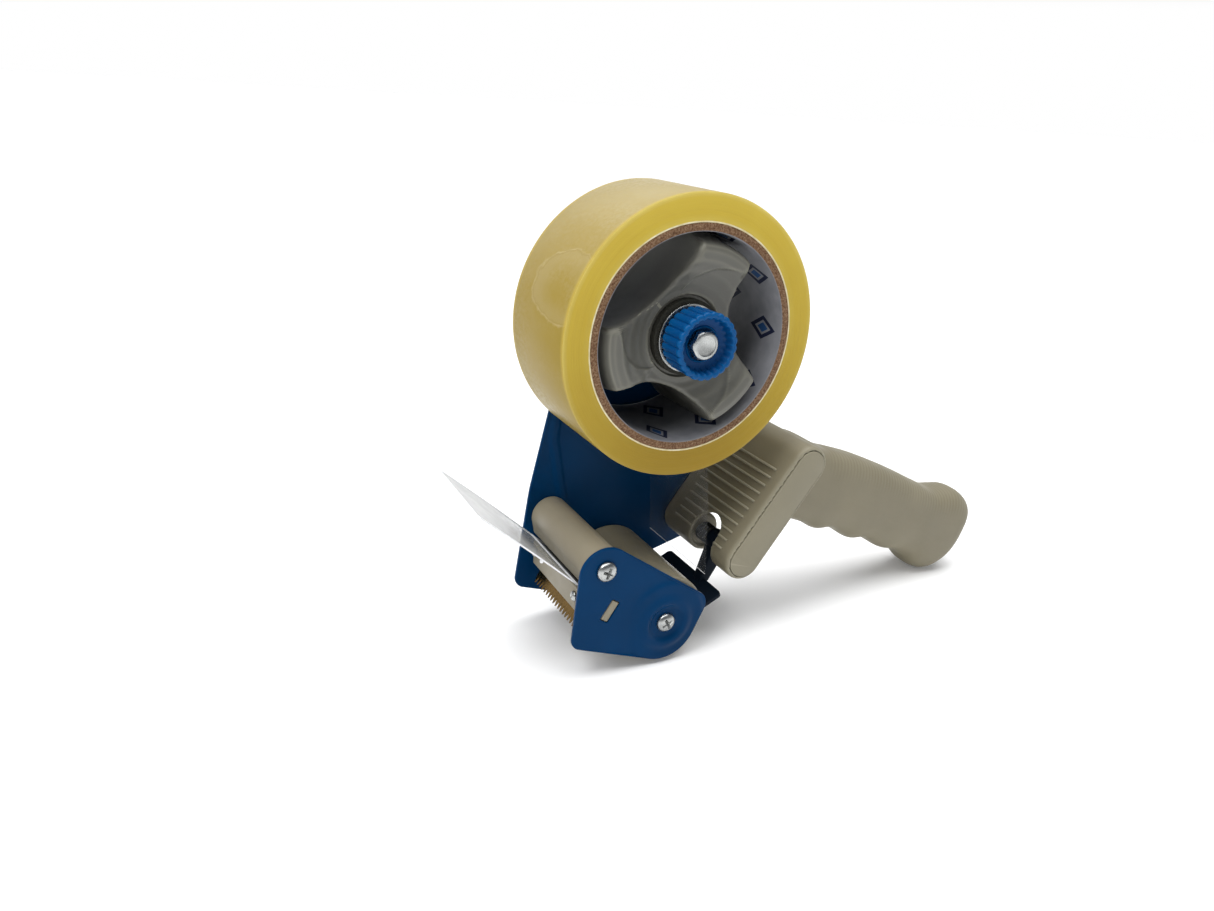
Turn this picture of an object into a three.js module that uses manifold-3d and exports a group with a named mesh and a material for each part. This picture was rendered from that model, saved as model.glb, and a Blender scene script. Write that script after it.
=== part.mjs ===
// Hand-held packing tape dispenser (tape gun) with a roll of tape on its hub.
// Millimetres, +Z up, +X from the blade towards the grip, +Y from the open side towards the main plate.
// It stands on its applicator roller and on the butt of its grip.
// Everything is drawn around the hub axis, and the finished tool is then moved onto its footprint.

import * as THREE from 'three';
import { mergeVertices } from 'three/addons/utils/BufferGeometryUtils.js';
import Module from 'manifold-3d';

const wasm = await Module();
wasm.setup();

// ---- driving dimensions ----------------------------------------------------------------------

const GAP = 0.3; // left between pieces that touch
const PLATE = 1.5; // thickness of the steel side plates
const INNER = 51; // clear width between the two side plates
const FIT = INNER / 2 - GAP; // half width of a piece that fills that space
const NEAR = -INNER / 2; // inner face of the cheek plate
const FAR = INNER / 2; // inner face of the main plate

const TAPE = { radius: 51.1, coreOuter: 41.0, coreInner: 38.4, linerInner: 37.7, width: 45 };
const TAIL = { top: [11.1, -50.5], bend: [13.4, -71], end: [15.2, -96.5], thickness: 0.4 };

const BAR = { x: -32, z: -83.6, radius: 8.1 }; // front bar of the blade holder
const ROLLER = { x: -4.5, z: -111.25, radius: 18.25, wall: 3, bore: 3.1, axle: 3.05 };
const TABLE_Z = ROLLER.z - ROLLER.radius;

const SEAT = { x: -29.2, z: -101.3, slope: 57.4, half: 1.65 }; // wall that carries the blade
const BLADE = { width: 46, foot: -14.7, top: 3, thickness: 0.6, teeth: 20, depth: 3.4 };
const FLAP = { root: [-32.6, -97.9], slope: 138.7, mouth: 11.2, length: 63, thickness: 0.6, width: 44 };

const BASE = { low: [31.8, -92.3], high: [58.8, -55.1], radius: 8.5, wall: 1.5, near: -26 };
const BASE_TILT = Math.atan2(BASE.high[1] - BASE.low[1], BASE.high[0] - BASE.low[0]);
const GRIP = { thickness: 27, squareness: 0.7, stations: 34, sides: 12 };
const RIBS = { count: 11, pitch: 3.85, first: -1.1, from: -19.5, to: 16.5, height: 0.7, width: 0.9 };
const NOTCH = { near: -13, far: 3.2, top: 9, backFar: 19 };

const PIVOT = { x: 31, z: -91.8, pin: 1.9 }; // retainer pivot
const TONGUE = { near: -22, far: 19, back: [24.8, -107.3], tip: [15.4, -111.9], thickness: 1.6 };

const AXLE = { radius: 6, near: -10, thread: 4, bore: 3.3 };
const HUB = { front: -22.3, back: 22, outer: 37.4, waist: 19, half: 18.5, turn: 70, skin: 2.2 };
const STACK = { ringBack: -15, ringFront: -17.9, washerBack: -18.2, washerFront: -19.2 };
const KNOB = { front: -32, back: -20, radius: 12.3, flutes: 24, recess: -29, web: -25 };

const SCREW = { head: 4, headHeight: 2.4, shank: 1.9, length: 9 };

// ---- materials -------------------------------------------------------------------------------

function finish(color, roughness, metalness = 0, extra = {}) {
  return new THREE.MeshStandardMaterial({ color, roughness, metalness, ...extra });
}

const material = {
  bluePaint: finish('#0b3a68', 0.4, 0.1),
  blueKnob: finish('#0a67b4', 0.4),
  beigePlastic: finish('#8b8470', 0.55),
  hubPlastic: finish('#7d7d74', 0.45),
  steel: finish('#c4c6c6', 0.3, 1),
  springSteel: finish('#4a4d50', 0.35, 1),
  blackSteel: finish('#141c26', 0.5, 0.3),
  rubberRing: finish('#26241f', 0.8),
  card: finish('#7a5544', 0.95),
  paper: finish('#b9b9bb', 0.8),
  tape: finish('#c4a945', 0.25, 0, { transparent: true, opacity: 0.92 }),
  film: finish('#d8dde0', 0.2, 0, { transparent: true, opacity: 0.4 }),
  flap: finish('#d9dcdc', 0.4, 0, { transparent: true, opacity: 0.75 }),
};

// ---- solids ----------------------------------------------------------------------------------

function toSolid(geometry) {
  const bare = geometry.clone();
  bare.deleteAttribute('normal');
  bare.deleteAttribute('uv');
  const merged = mergeVertices(bare, 1e-4);
  return new wasm.Manifold(new wasm.Mesh({
    numProp: 3,
    vertProperties: new Float32Array(merged.attributes.position.array),
    triVerts: new Uint32Array(merged.index.array),
  }));
}

function toGeometry(solid) {
  const mesh = solid.getMesh();
  const geometry = new THREE.BufferGeometry();
  geometry.setAttribute('position', new THREE.BufferAttribute(mesh.vertProperties, 3));
  geometry.setIndex(new THREE.BufferAttribute(mesh.triVerts, 1));
  geometry.computeVertexNormals();
  return geometry;
}

// A shape drawn in X and Z, pushed along Y from one value to another.
function prism(shape, from, to, curveSegments = 8) {
  const geometry = new THREE.ExtrudeGeometry(shape,
    { depth: to - from, curveSegments, bevelEnabled: false });
  geometry.rotateX(Math.PI / 2);
  geometry.translate(0, to, 0);
  return toSolid(geometry);
}

// A solid turned about the Y axis from [radius, y] points that start and end on the axis.
function turned(points, segments = 32) {
  const profile = points.map(([radius, y]) => new THREE.Vector2(radius, y));
  return toSolid(new THREE.LatheGeometry(profile, segments));
}

function rod(radius, from, to, segments = 24) {
  const geometry = new THREE.CylinderGeometry(radius, radius, to - from, segments);
  geometry.translate(0, (from + to) / 2, 0);
  return toSolid(geometry);
}

function tube(outer, inner, from, to, segments = 32) {
  return rod(outer, from, to, segments).subtract(rod(inner, from - 1, to + 1, segments));
}

function block(x, y, z, width, depth, height) {
  const geometry = new THREE.BoxGeometry(width, depth, height);
  geometry.translate(x, y, z);
  return toSolid(geometry);
}

// The same block turned about the Y axis so that its width runs at an angle above +X.
function slantedBlock(along, across, y, width, depth, height, angle, origin) {
  const geometry = new THREE.BoxGeometry(width, depth, height);
  geometry.translate(along, 0, across);
  geometry.rotateY(-angle);
  geometry.translate(origin[0], y, origin[1]);
  return toSolid(geometry);
}

function at(solid, x, y, z) {
  return solid.translate([x, y, z]);
}

// ---- outlines --------------------------------------------------------------------------------

// A closed outline through sharp corners [x, z, radius], each rounded by an arc.
function rounded(corners) {
  const shape = new THREE.Shape();
  const count = corners.length;
  corners.forEach(([x, z, radius], i) => {
    const corner = new THREE.Vector2(x, z);
    const before = new THREE.Vector2(...corners[(i + count - 1) % count]).sub(corner).normalize();
    const after = new THREE.Vector2(...corners[(i + 1) % count]).sub(corner).normalize();
    const half = Math.acos(before.dot(after)) / 2;
    const reach = radius / Math.tan(half);
    const start = corner.clone().addScaledVector(before, reach);
    const end = corner.clone().addScaledVector(after, reach);
    const middle = before.clone().add(after).normalize();
    const centre = corner.clone().addScaledVector(middle, radius / Math.sin(half));
    const clockwise = before.cross(after) > 0;
    if (i === 0) shape.moveTo(start.x, start.y);
    else shape.lineTo(start.x, start.y);
    const a0 = Math.atan2(start.y - centre.y, start.x - centre.x);
    const a1 = Math.atan2(end.y - centre.y, end.x - centre.x);
    shape.absarc(centre.x, centre.y, radius, a0, a1, clockwise);
  });
  shape.closePath();
  return shape;
}

function polygon(points) {
  return new THREE.Shape(points.map(([x, z]) => new THREE.Vector2(x, z)));
}

// A bar with round ends between two centres.
function stadium(low, high, radius) {
  const tilt = Math.atan2(high[1] - low[1], high[0] - low[0]);
  const shape = new THREE.Shape();
  shape.absarc(high[0], high[1], radius, tilt - Math.PI / 2, tilt + Math.PI / 2, false);
  shape.absarc(low[0], low[1], radius, tilt + Math.PI / 2, tilt + 1.5 * Math.PI, false);
  shape.closePath();
  return shape;
}

// A point given along and across a direction, measured from an origin.
function offsetPoint(origin, angle, along, across) {
  return [
    origin[0] + along * Math.cos(angle) - across * Math.sin(angle),
    origin[1] + along * Math.sin(angle) + across * Math.cos(angle),
  ];
}

// A flat strip drawn from its lower edge, with a thickness on the upper side.
function strip(from, angle, length, thickness) {
  return polygon([
    from,
    offsetPoint(from, angle, length, 0),
    offsetPoint(from, angle, length, thickness),
    offsetPoint(from, angle, 0, thickness),
  ]);
}

// ---- the assembly ----------------------------------------------------------------------------

const tool = new THREE.Group();

function add(name, solid, look, parent = tool) {
  const mesh = new THREE.Mesh(toGeometry(solid), look);
  mesh.name = name;
  parent.add(mesh);
  return mesh;
}

const radians = THREE.MathUtils.degToRad;

// ---- fasteners -------------------------------------------------------------------------------

// Pan head screw with a cross recess. Its head stands out along -Y from y = 0.
function panScrew(size, length) {
  const { head, headHeight, shank } = SCREW;
  const body = turned([
    [0, -headHeight * size],
    [head * 0.55 * size, -headHeight * 0.93 * size],
    [head * 0.9 * size, -headHeight * 0.6 * size],
    [head * size, -headHeight * 0.15 * size],
    [head * size, 0],
    [shank * size, 0],
    [shank * size, length - 1],
    [0, length],
  ], 14);
  const arm = 0.9 * size;
  const span = 4.6 * size;
  const cross = block(0, -headHeight * size, 0, span, 2.2 * size, arm)
    .add(block(0, -headHeight * size, 0, arm, 2.2 * size, span));
  return body.subtract(cross);
}

function addScrew(name, x, y, z, options = {}) {
  const { size = 1, length = SCREW.length, fromBehind = false, turn = 25 } = options;
  const mesh = add(name, panScrew(size, length), material.steel);
  mesh.position.set(x, y, z);
  mesh.rotation.set(fromBehind ? Math.PI : 0, radians(turn), 0);
  return mesh;
}

// ---- side plates -----------------------------------------------------------------------------

const SCREW_HOLE = SCREW.shank + GAP;
const HANDLE_SCREWS = [[6, 0], [28, 0], [49, 0]].map(([along, across]) =>
  offsetPoint(BASE.low, BASE_TILT, along, across));
const SLOT = { length: 8.7, width: 3.9 };

function tabSlot(from, to) {
  return slantedBlock(0, 0, (from + to) / 2, SLOT.length + 2 * GAP, to - from, SLOT.width,
    radians(SEAT.slope), [SEAT.x, SEAT.z]);
}

function mainSidePlate() {
  const outline = rounded([
    [-46.9, -114.8, 5],
    [1.8, -131.3, 15],
    [16, -110.6, 5],
    [38.5, -104, 8],
    [68, -57, 9],
    [60, -46.5, 6],
    [30, -22, 22],
    [25, 25, 24],
    [-24.5, 25, 23],
    [-28, -14, 30],
    [-41, -72, 60],
  ]);
  let plate = prism(outline, FAR, FAR + PLATE, 6);
  plate = plate.subtract(rod(AXLE.thread + GAP, 20, 30));
  plate = plate.subtract(at(rod(SCREW_HOLE, 20, 30), BAR.x, 0, BAR.z));
  plate = plate.subtract(at(rod(SCREW_HOLE, 20, 30), ROLLER.x, 0, ROLLER.z));
  for (const [x, z] of HANDLE_SCREWS) {
    plate = plate.subtract(at(rod(SCREW_HOLE, 20, 30), x, 0, z));
  }
  return plate.subtract(tabSlot(20, 30));
}

// The small plate that carries the front end on the open side, with a raised ring around the
// roller screw.
function cheekPlate() {
  const outline = rounded([
    [-41, -65.8, 10.8],
    [-44.8, -114.2, 4.5],
    [1.8, -131.3, 15],
    [16, -105.1, 6],
  ]);
  let plate = prism(outline, NEAR - PLATE, NEAR, 6);
  const ring = turned([
    [0, -PLATE - 0.9],
    [9.5, -PLATE - 0.9],
    [11.8, -PLATE + 0.2],
    [0, -PLATE + 0.2],
  ]);
  const dish = turned([
    [0, -PLATE - 2],
    [8.2, -PLATE - 2],
    [8.2, -PLATE - 0.9],
    [5.6, -PLATE],
    [0, -PLATE],
  ]);
  plate = plate.add(at(ring, ROLLER.x, NEAR, ROLLER.z));
  plate = plate.subtract(at(dish, ROLLER.x, NEAR, ROLLER.z));
  plate = plate.subtract(at(rod(SCREW_HOLE, -30, -20), BAR.x, 0, BAR.z));
  plate = plate.subtract(at(rod(SCREW_HOLE, -30, -20), ROLLER.x, 0, ROLLER.z));
  return plate.subtract(tabSlot(-30, -20));
}

add('main_side_plate', mainSidePlate(), material.bluePaint);
add('cheek_plate', cheekPlate(), material.bluePaint);

// ---- blade holder, blade, cover and wiper flap -----------------------------------------------

const SEAT_ANGLE = radians(SEAT.slope);
const SEAT_ORIGIN = [SEAT.x, SEAT.z];
const FLAP_ANGLE = radians(FLAP.slope);

// A point in the blade's own frame: along its slope, and out towards the front.
function seatPoint(along, front) {
  return offsetPoint(SEAT_ORIGIN, SEAT_ANGLE, along, front);
}

function bladeHolder() {
  const bar = at(rod(BAR.radius, -FIT, FIT, 32), BAR.x, 0, BAR.z);
  const body = prism(polygon([
    [-38.6, -88.2],
    [-38.6, -90.9],
    [-32.0, -96.7],
    seatPoint(3.6, 2.9),
    seatPoint(3.6, SEAT.half),
    seatPoint(-8, SEAT.half),
    seatPoint(-8, -SEAT.half),
    seatPoint(8, -SEAT.half),
    [-24.6, -86.5],
  ]), -FIT, FIT);
  const tabs = slantedBlock(0, 0, 0, SLOT.length, INNER + 2 * PLATE, 2 * SEAT.half,
    SEAT_ANGLE, SEAT_ORIGIN);
  let holder = bar.add(body).add(tabs);
  const screwDepth = SCREW.length - PLATE + 1;
  for (const [from, to] of [[-FIT - 1, -FIT + screwDepth], [FIT - screwDepth, FIT + 1]]) {
    holder = holder.subtract(at(rod(SCREW_HOLE, from, to), BAR.x, 0, BAR.z));
  }
  return holder.subtract(coverScrewHoles(1.3));
}

const COVER = { front: -40.4, low: -102.8, high: -91.3, screwX: 19, screwZ: -96.6 };

// Holes along X for the two small screws that clamp the cover to the holder.
function coverScrewHoles(radius) {
  const reach = 16;
  const hole = new THREE.CylinderGeometry(radius, radius, reach, 16);
  hole.rotateZ(Math.PI / 2);
  hole.translate(COVER.front + reach / 2 - 1, 0, COVER.screwZ);
  const solid = toSolid(hole);
  return at(solid, 0, -COVER.screwX, 0).add(at(solid, 0, COVER.screwX, 0));
}

function bladeCover() {
  const clearance = SEAT.half + 2 * GAP + BLADE.thickness;
  const outline = rounded([
    [COVER.front, COVER.high, 0.8],
    [COVER.front, COVER.low, 1],
    [...seatPoint(-7, clearance), 0.6],
    [...seatPoint(0.4, clearance), 0.4],
  ]);
  return prism(outline, -21.5, 21.5, 4).subtract(coverScrewHoles(1.3));
}

function blade() {
  const { width, foot, top, thickness, teeth, depth } = BLADE;
  const pitch = width / teeth;
  const points = [[-width / 2, top], [-width / 2, foot + depth]];
  for (let i = 0; i < teeth; i += 1) {
    const start = -width / 2 + i * pitch;
    points.push([start + pitch / 2, foot], [start + pitch, foot + depth]);
  }
  points.push([width / 2, top]);
  const shape = polygon(points);
  const geometry = new THREE.ExtrudeGeometry(shape, { depth: thickness, bevelEnabled: false });
  const holes = new THREE.BoxGeometry(3.4, 10, 6);
  const solid = toSolid(geometry);
  const slot = toSolid(holes);
  return solid.subtract(at(slot, -COVER.screwX, top, 0)).subtract(at(slot, COVER.screwX, top, 0));
}

// The flexible flap is one sheet: a root clamped under the bar, and a free part that flexes.
function wiperFlap(from, to) {
  const start = offsetPoint(FLAP.root, FLAP_ANGLE, from, 0);
  const half = FLAP.width / 2;
  return prism(strip(start, FLAP_ANGLE, to - from, -FLAP.thickness), -half, half);
}

function wiperFlapRoot() {
  let root = wiperFlap(0, FLAP.mouth);
  for (const y of [-COVER.screwX, COVER.screwX]) {
    root = root.subtract(slantedBlock(0, 0, y, 9, 3.6, 4, FLAP_ANGLE, FLAP.root));
  }
  return root;
}

add('blade_holder', bladeHolder(), material.beigePlastic);
add('blade_cover', bladeCover(), material.beigePlastic);
add('wiper_flap_root', wiperFlapRoot(), material.flap);
add('wiper_flap', wiperFlap(FLAP.mouth + GAP, FLAP.length), material.flap);

// The blade lies on the front of the seat wall, with its own X axis across the tool.
const bladeFrame = new THREE.Group();
const bladeUp = new THREE.Vector3(Math.cos(SEAT_ANGLE), 0, Math.sin(SEAT_ANGLE));
const bladeAcross = new THREE.Vector3(0, 1, 0);
const bladeBack = new THREE.Vector3().crossVectors(bladeAcross, bladeUp);
bladeFrame.quaternion.setFromRotationMatrix(
  new THREE.Matrix4().makeBasis(bladeAcross, bladeUp, bladeBack));
const [bladeX, bladeZ] = seatPoint(0, SEAT.half + GAP + BLADE.thickness);
bladeFrame.position.set(bladeX, 0, bladeZ);
tool.add(bladeFrame);
add('blade', blade(), material.steel, bladeFrame);

for (const [name, y] of [['cover_screw_near', -COVER.screwX], ['cover_screw_far', COVER.screwX]]) {
  const screw = add(name, panScrew(0.5, 8), material.steel);
  screw.position.set(COVER.front - 0.3, y, COVER.screwZ);
  screw.rotation.set(0, 0, -Math.PI / 2);
}

// ---- applicator roller -----------------------------------------------------------------------

function applicatorRoller() {
  const { radius, wall, bore } = ROLLER;
  const half = FIT - 0.2;
  const recess = 6;
  let roller = rod(radius, -half, half, 48);
  const inner = turned([
    [0, -1],
    [radius - wall, -1],
    [radius - wall, recess + 1],
    [0, recess + 1],
  ], 24);
  const hubs = turned([[0, -2], [6, -2], [6, recess + 2], [0, recess + 2]], 16);
  const pocket = inner.subtract(hubs);
  roller = roller.subtract(at(pocket, 0, -half, 0));
  roller = roller.subtract(at(pocket, 0, half - recess, 0));
  return roller.subtract(rod(bore, -half - 1, half + 1));
}

function rollerAxle() {
  const depth = SCREW.length - PLATE + 1;
  return rod(ROLLER.axle, -FIT, FIT)
    .subtract(rod(SCREW_HOLE, -FIT - 1, -FIT + depth, 16))
    .subtract(rod(SCREW_HOLE, FIT - depth, FIT + 1, 16));
}

const rollerFrame = new THREE.Group();
rollerFrame.position.set(ROLLER.x, 0, ROLLER.z);
tool.add(rollerFrame);
add('applicator_roller', applicatorRoller(), material.beigePlastic, rollerFrame);
add('roller_axle', rollerAxle(), material.steel, rollerFrame);

const CHEEK_FACE = NEAR - PLATE - GAP;
const MAIN_FACE = FAR + PLATE + GAP;
addScrew('cheek_screw_bar', BAR.x, CHEEK_FACE, BAR.z, { turn: 20 });
addScrew('cheek_screw_roller', ROLLER.x, CHEEK_FACE, ROLLER.z, { turn: 62 });
addScrew('plate_screw_bar', BAR.x, MAIN_FACE, BAR.z, { fromBehind: true, turn: 40 });
addScrew('plate_screw_roller', ROLLER.x, MAIN_FACE, ROLLER.z, { fromBehind: true, turn: 10 });

// ---- handle ----------------------------------------------------------------------------------

// The grip's edge along the back of the hand, and the one along the fingers with its four waves.
const GRIP_BACK = [
  [61, -50.5], [67.5, -49.6], [82.2, -57], [91, -59.9], [103.2, -63.9], [116.2, -69.2],
  [129.6, -75.2], [143.8, -82.2], [154.7, -87.2], [163.5, -88.4], [170.5, -89.6], [176.4, -94.2],
  [179.6, -101.4],
];
const GRIP_FINGERS = [
  [50, -73], [64, -86], [77, -92], [83.8, -96], [92, -96.8], [98.8, -100.6], [105.2, -104.5],
  [112.6, -105.4], [119.6, -109.2], [126.6, -113.3], [134.6, -115.4], [141.6, -119.6],
  [147.4, -126], [154.4, -129.35], [161, -128], [168, -121.6], [176, -110.2],
];

// A closed skin over rings that all have the same number of points.
function loft(rings) {
  const size = rings[0].length;
  const positions = rings.flat().flat();
  const index = [];
  const corner = (ring, k) => ring * size + ((k + size) % size);
  for (let ring = 0; ring < rings.length - 1; ring += 1) {
    for (let k = 0; k < size; k += 1) {
      index.push(corner(ring, k), corner(ring + 1, k), corner(ring, k + 1));
      index.push(corner(ring, k + 1), corner(ring + 1, k), corner(ring + 1, k + 1));
    }
  }
  const last = rings.length - 1;
  for (let k = 1; k < size - 1; k += 1) {
    index.push(corner(0, 0), corner(0, k), corner(0, k + 1));
    index.push(corner(last, 0), corner(last, k + 1), corner(last, k));
  }
  const geometry = new THREE.BufferGeometry();
  geometry.setAttribute('position', new THREE.Float32BufferAttribute(positions, 3));
  geometry.setIndex(index);
  return toSolid(geometry);
}

function grip() {
  const curve = (points) => new THREE.CatmullRomCurve3(points.map(([x, z]) =>
    new THREE.Vector3(x, 0, z)));
  const upper = curve(GRIP_BACK).getPoints(GRIP.stations);
  const lower = curve(GRIP_FINGERS).getPoints(GRIP.stations);
  const squared = (value) => Math.sign(value) * Math.abs(value) ** GRIP.squareness;
  const rings = upper.map((top, i) => {
    const bottom = lower[i];
    const taper = Math.sqrt(1 - 0.82 * Math.max(0, (i / GRIP.stations - 0.88) / 0.12) ** 2);
    const half = (GRIP.thickness / 2) * taper;
    return Array.from({ length: GRIP.sides }, (_, k) => {
      const angle = (2 * Math.PI * k) / GRIP.sides;
      const share = (1 + squared(Math.cos(angle))) / 2;
      return [
        bottom.x + (top.x - bottom.x) * share,
        half * squared(Math.sin(angle)),
        bottom.z + (top.z - bottom.z) * share,
      ];
    });
  });
  return loft(rings);
}

function handleRibs() {
  const ribs = [];
  for (let i = 0; i < RIBS.count; i += 1) {
    ribs.push(slantedBlock(RIBS.first + i * RIBS.pitch, BASE.radius, (RIBS.from + RIBS.to) / 2,
      RIBS.width, RIBS.to - RIBS.from, 2 * RIBS.height, BASE_TILT, BASE.low));
  }
  return ribs.reduce((all, rib) => all.add(rib));
}

// The arched slot for the retainer: open at the lower end and through to the back.
function retainerNotch() {
  const { near, far, top, backFar } = NOTCH;
  const width = far - near;
  const middle = (near + far) / 2;
  const radius = width / 2;
  const low = -20;
  const front = slantedBlock((low + top - radius) / 2, 0, middle, top - radius - low, width, 30,
    BASE_TILT, BASE.low);
  const arch = new THREE.CylinderGeometry(radius, radius, 30, 24);
  arch.rotateX(Math.PI / 2);
  arch.translate(top - radius, middle, 0);
  arch.rotateY(-BASE_TILT);
  arch.translate(BASE.low[0], 0, BASE.low[1]);
  const back = slantedBlock(top / 2 - 2, -BASE.radius, (near + backFar) / 2, top + 4, backFar - near,
    2 * BASE.wall + 4, BASE_TILT, BASE.low);
  return front.add(toSolid(arch)).add(back);
}

function handle() {
  const { low, high, radius, wall, near } = BASE;
  const far = FIT;
  const floor = 4.7;
  const shell = prism(stadium(low, high, radius), near, far, 10);
  const cavity = prism(stadium(low, high, radius - wall), near - 1, far - floor, 8);
  let body = shell.add(grip()).add(handleRibs()).subtract(cavity).subtract(retainerNotch());
  for (const [x, z] of HANDLE_SCREWS) {
    const boss = at(rod(3.6, far - 12, far - 1), x, 0, z);
    body = body.add(boss);
  }
  for (const [from, to, top] of [[-16, -13.4, 8], [5.6, 8, 4]]) {
    body = body.add(pinRib(from, to, top));
  }
  body = body.subtract(at(rod(PIVOT.pin + GAP, -19, 12, 20), PIVOT.x, 0, PIVOT.z));
  for (const [x, z] of HANDLE_SCREWS) {
    body = body.subtract(at(rod(SCREW_HOLE, far - SCREW.length, far + 1, 16), x, 0, z));
  }
  return body;
}

// A wall across the hollow that holds the retainer pin.
function pinRib(from, to, top) {
  const { low, radius, wall } = BASE;
  const fill = prism(stadium(low, offsetPoint(low, BASE_TILT, top - 4, 0), radius - wall + 0.5),
    from, to, 10);
  return fill.intersect(slantedBlock(top - 20, 0, (from + to) / 2, 40, to - from, 40, BASE_TILT, low));
}

function handleEndCap() {
  const { low, high, radius, wall, near } = BASE;
  const inner = radius - wall - GAP;
  const face = prism(stadium(low, high, inner), near, near + 2, 8);
  const skirt = prism(stadium(low, high, inner), near + 1, near + 6, 8)
    .subtract(prism(stadium(low, high, inner - 1.4), near, near + 7, 6));
  return face.add(skirt);
}

add('handle', handle(), material.beigePlastic);
add('handle_end_cap', handleEndCap(), material.beigePlastic);
HANDLE_SCREWS.forEach(([x, z], i) => {
  const name = `handle_screw_${['low', 'middle', 'high'][i]}`;
  addScrew(name, x, MAIN_FACE, z, { fromBehind: true, turn: 15 + 35 * i, length: 8.5 });
});

// ---- tape retainer ---------------------------------------------------------------------------

const ARM = { near: -12.6, far: -4.2, barrel: 4.6 };

function tapeRetainer() {
  const { near, far, back, tip, thickness } = TONGUE;
  const slope = Math.atan2(tip[1] - back[1], tip[0] - back[0]);
  const length = Math.hypot(tip[0] - back[0], tip[1] - back[1]);
  const tongue = prism(strip(back, slope, length, thickness), near, far);
  const armTilt = Math.atan2(PIVOT.z - back[1], PIVOT.x - back[0]);
  const arm = prism(polygon([
    offsetPoint([PIVOT.x, PIVOT.z], armTilt, 0, -ARM.barrel),
    offsetPoint([PIVOT.x, PIVOT.z], armTilt, 0, ARM.barrel - 1),
    offsetPoint(back, slope, 3, 0),
    offsetPoint(back, slope, 3, thickness),
    offsetPoint(back, slope, -1.2, thickness),
  ]), ARM.near, ARM.far);
  const barrel = at(rod(ARM.barrel, ARM.near, ARM.far), PIVOT.x, 0, PIVOT.z);
  const bore = at(rod(PIVOT.pin + 0.08, -30, 30, 20), PIVOT.x, 0, PIVOT.z);
  return tongue.add(arm).add(barrel).subtract(bore);
}

// Round wire wound about the Y axis, with straight ends that run off along a tangent.
class Coil extends THREE.Curve {
  constructor(radius, from, to, turns, leg) {
    super();
    Object.assign(this, { radius, from, to, turns, leg });
  }

  getPoint(t, target = new THREE.Vector3()) {
    const { radius, from, to, turns, leg } = this;
    const total = turns * 2 * Math.PI * radius + 2 * leg;
    const run = t * total - leg;
    const wound = total - 2 * leg;
    const on = Math.min(Math.max(run, 0), wound);
    const angle = on / radius;
    const spare = run - on;
    const y = from + (to - from) * (on / wound);
    const x = radius * Math.cos(angle) - spare * Math.sin(angle);
    const z = radius * Math.sin(angle) + spare * Math.cos(angle);
    return target.set(x, y, z);
  }
}

function wireSpring(radius, wire, from, to, turns, leg, steps) {
  const section = new THREE.Shape().absarc(0, 0, wire / 2, 0, 2 * Math.PI, false);
  const path = new Coil(radius, from, to, turns, leg);
  const geometry = new THREE.ExtrudeGeometry(section, { extrudePath: path, steps, curveSegments: 3 });
  return toSolid(geometry);
}

add('tape_retainer', tapeRetainer(), material.blackSteel);
const pin = add('retainer_pin', rod(PIVOT.pin, -18, 11, 20), material.steel);
pin.position.set(PIVOT.x, 0, PIVOT.z);
const retainerSpring = add('retainer_spring', wireSpring(3.7, 1, -3.1, 4, 5, 3, 56),
  material.springSteel);
retainerSpring.position.set(PIVOT.x, 0, PIVOT.z);
retainerSpring.rotation.y = radians(60);

// ---- hub, axle and brake ---------------------------------------------------------------------

// Three lobes joined by hollow curves.
function starOutline(outer, waist, half) {
  const shape = new THREE.Shape();
  const side = radians(60 - half);
  const cornerX = outer * Math.cos(side);
  const cornerY = outer * Math.sin(side);
  const centre = (cornerX ** 2 + cornerY ** 2 - waist ** 2) / (2 * (cornerX - waist));
  const radius = centre - waist;
  const spread = Math.asin(cornerY / radius);
  for (let k = 0; k < 3; k += 1) {
    const lobe = radians(HUB.turn + 120 * k);
    const valley = lobe + radians(60);
    shape.absarc(0, 0, outer, lobe - radians(half), lobe + radians(half), false);
    const away = valley + Math.PI;
    shape.absarc(centre * Math.cos(valley), centre * Math.sin(valley), radius,
      away + spread, away - spread, true);
  }
  shape.closePath();
  return shape;
}

function hub() {
  const { front, back, outer, waist, half, skin } = HUB;
  const face = STACK.ringBack + GAP;
  const envelope = turned([
    [0, face],
    [14.6, face],
    [15.2, face - 1.6],
    [18, face - 1.2],
    [25, front + 2.4],
    [28, front],
    [31.5, front],
    [34.5, front + 1.6],
    [36.6, front + 4.4],
    [outer, front + 8],
    [outer, back],
    [0, back],
  ], 60);
  const hollow = turned([
    [0, face + skin + 1],
    [15, face + skin],
    [25, front + 2.4 + skin],
    [31, front + skin + 0.4],
    [outer, front + 12],
    [outer, back + 1],
    [0, back + 1],
  ], 36);
  const body = prism(starOutline(outer, waist, half), front - 1, back, 5).intersect(envelope);
  const inside = prism(starOutline(outer - skin, waist - skin, half - 4), front - 1, back + 1, 4)
    .intersect(hollow);
  const boss = rod(AXLE.radius + 3, face + 1, back, 32);
  return body.subtract(inside).add(boss).subtract(rod(AXLE.radius + 0.08, front - 5, back + 5, 32));
}

function hubAxle() {
  const flange = turned([[0, 22.4], [11, 22.4], [11, FIT], [0, FIT]], 32);
  return rod(AXLE.radius, AXLE.near, FIT, 32)
    .add(flange)
    .add(rod(AXLE.thread, FIT - 1, FAR + PLATE + 6.5, 24))
    .subtract(rod(AXLE.bore, AXLE.near - 1, 20, 24));
}

function hexagon(flats, from, to) {
  return rod(flats / 2 / Math.cos(Math.PI / 6), from, to, 6);
}

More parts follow.
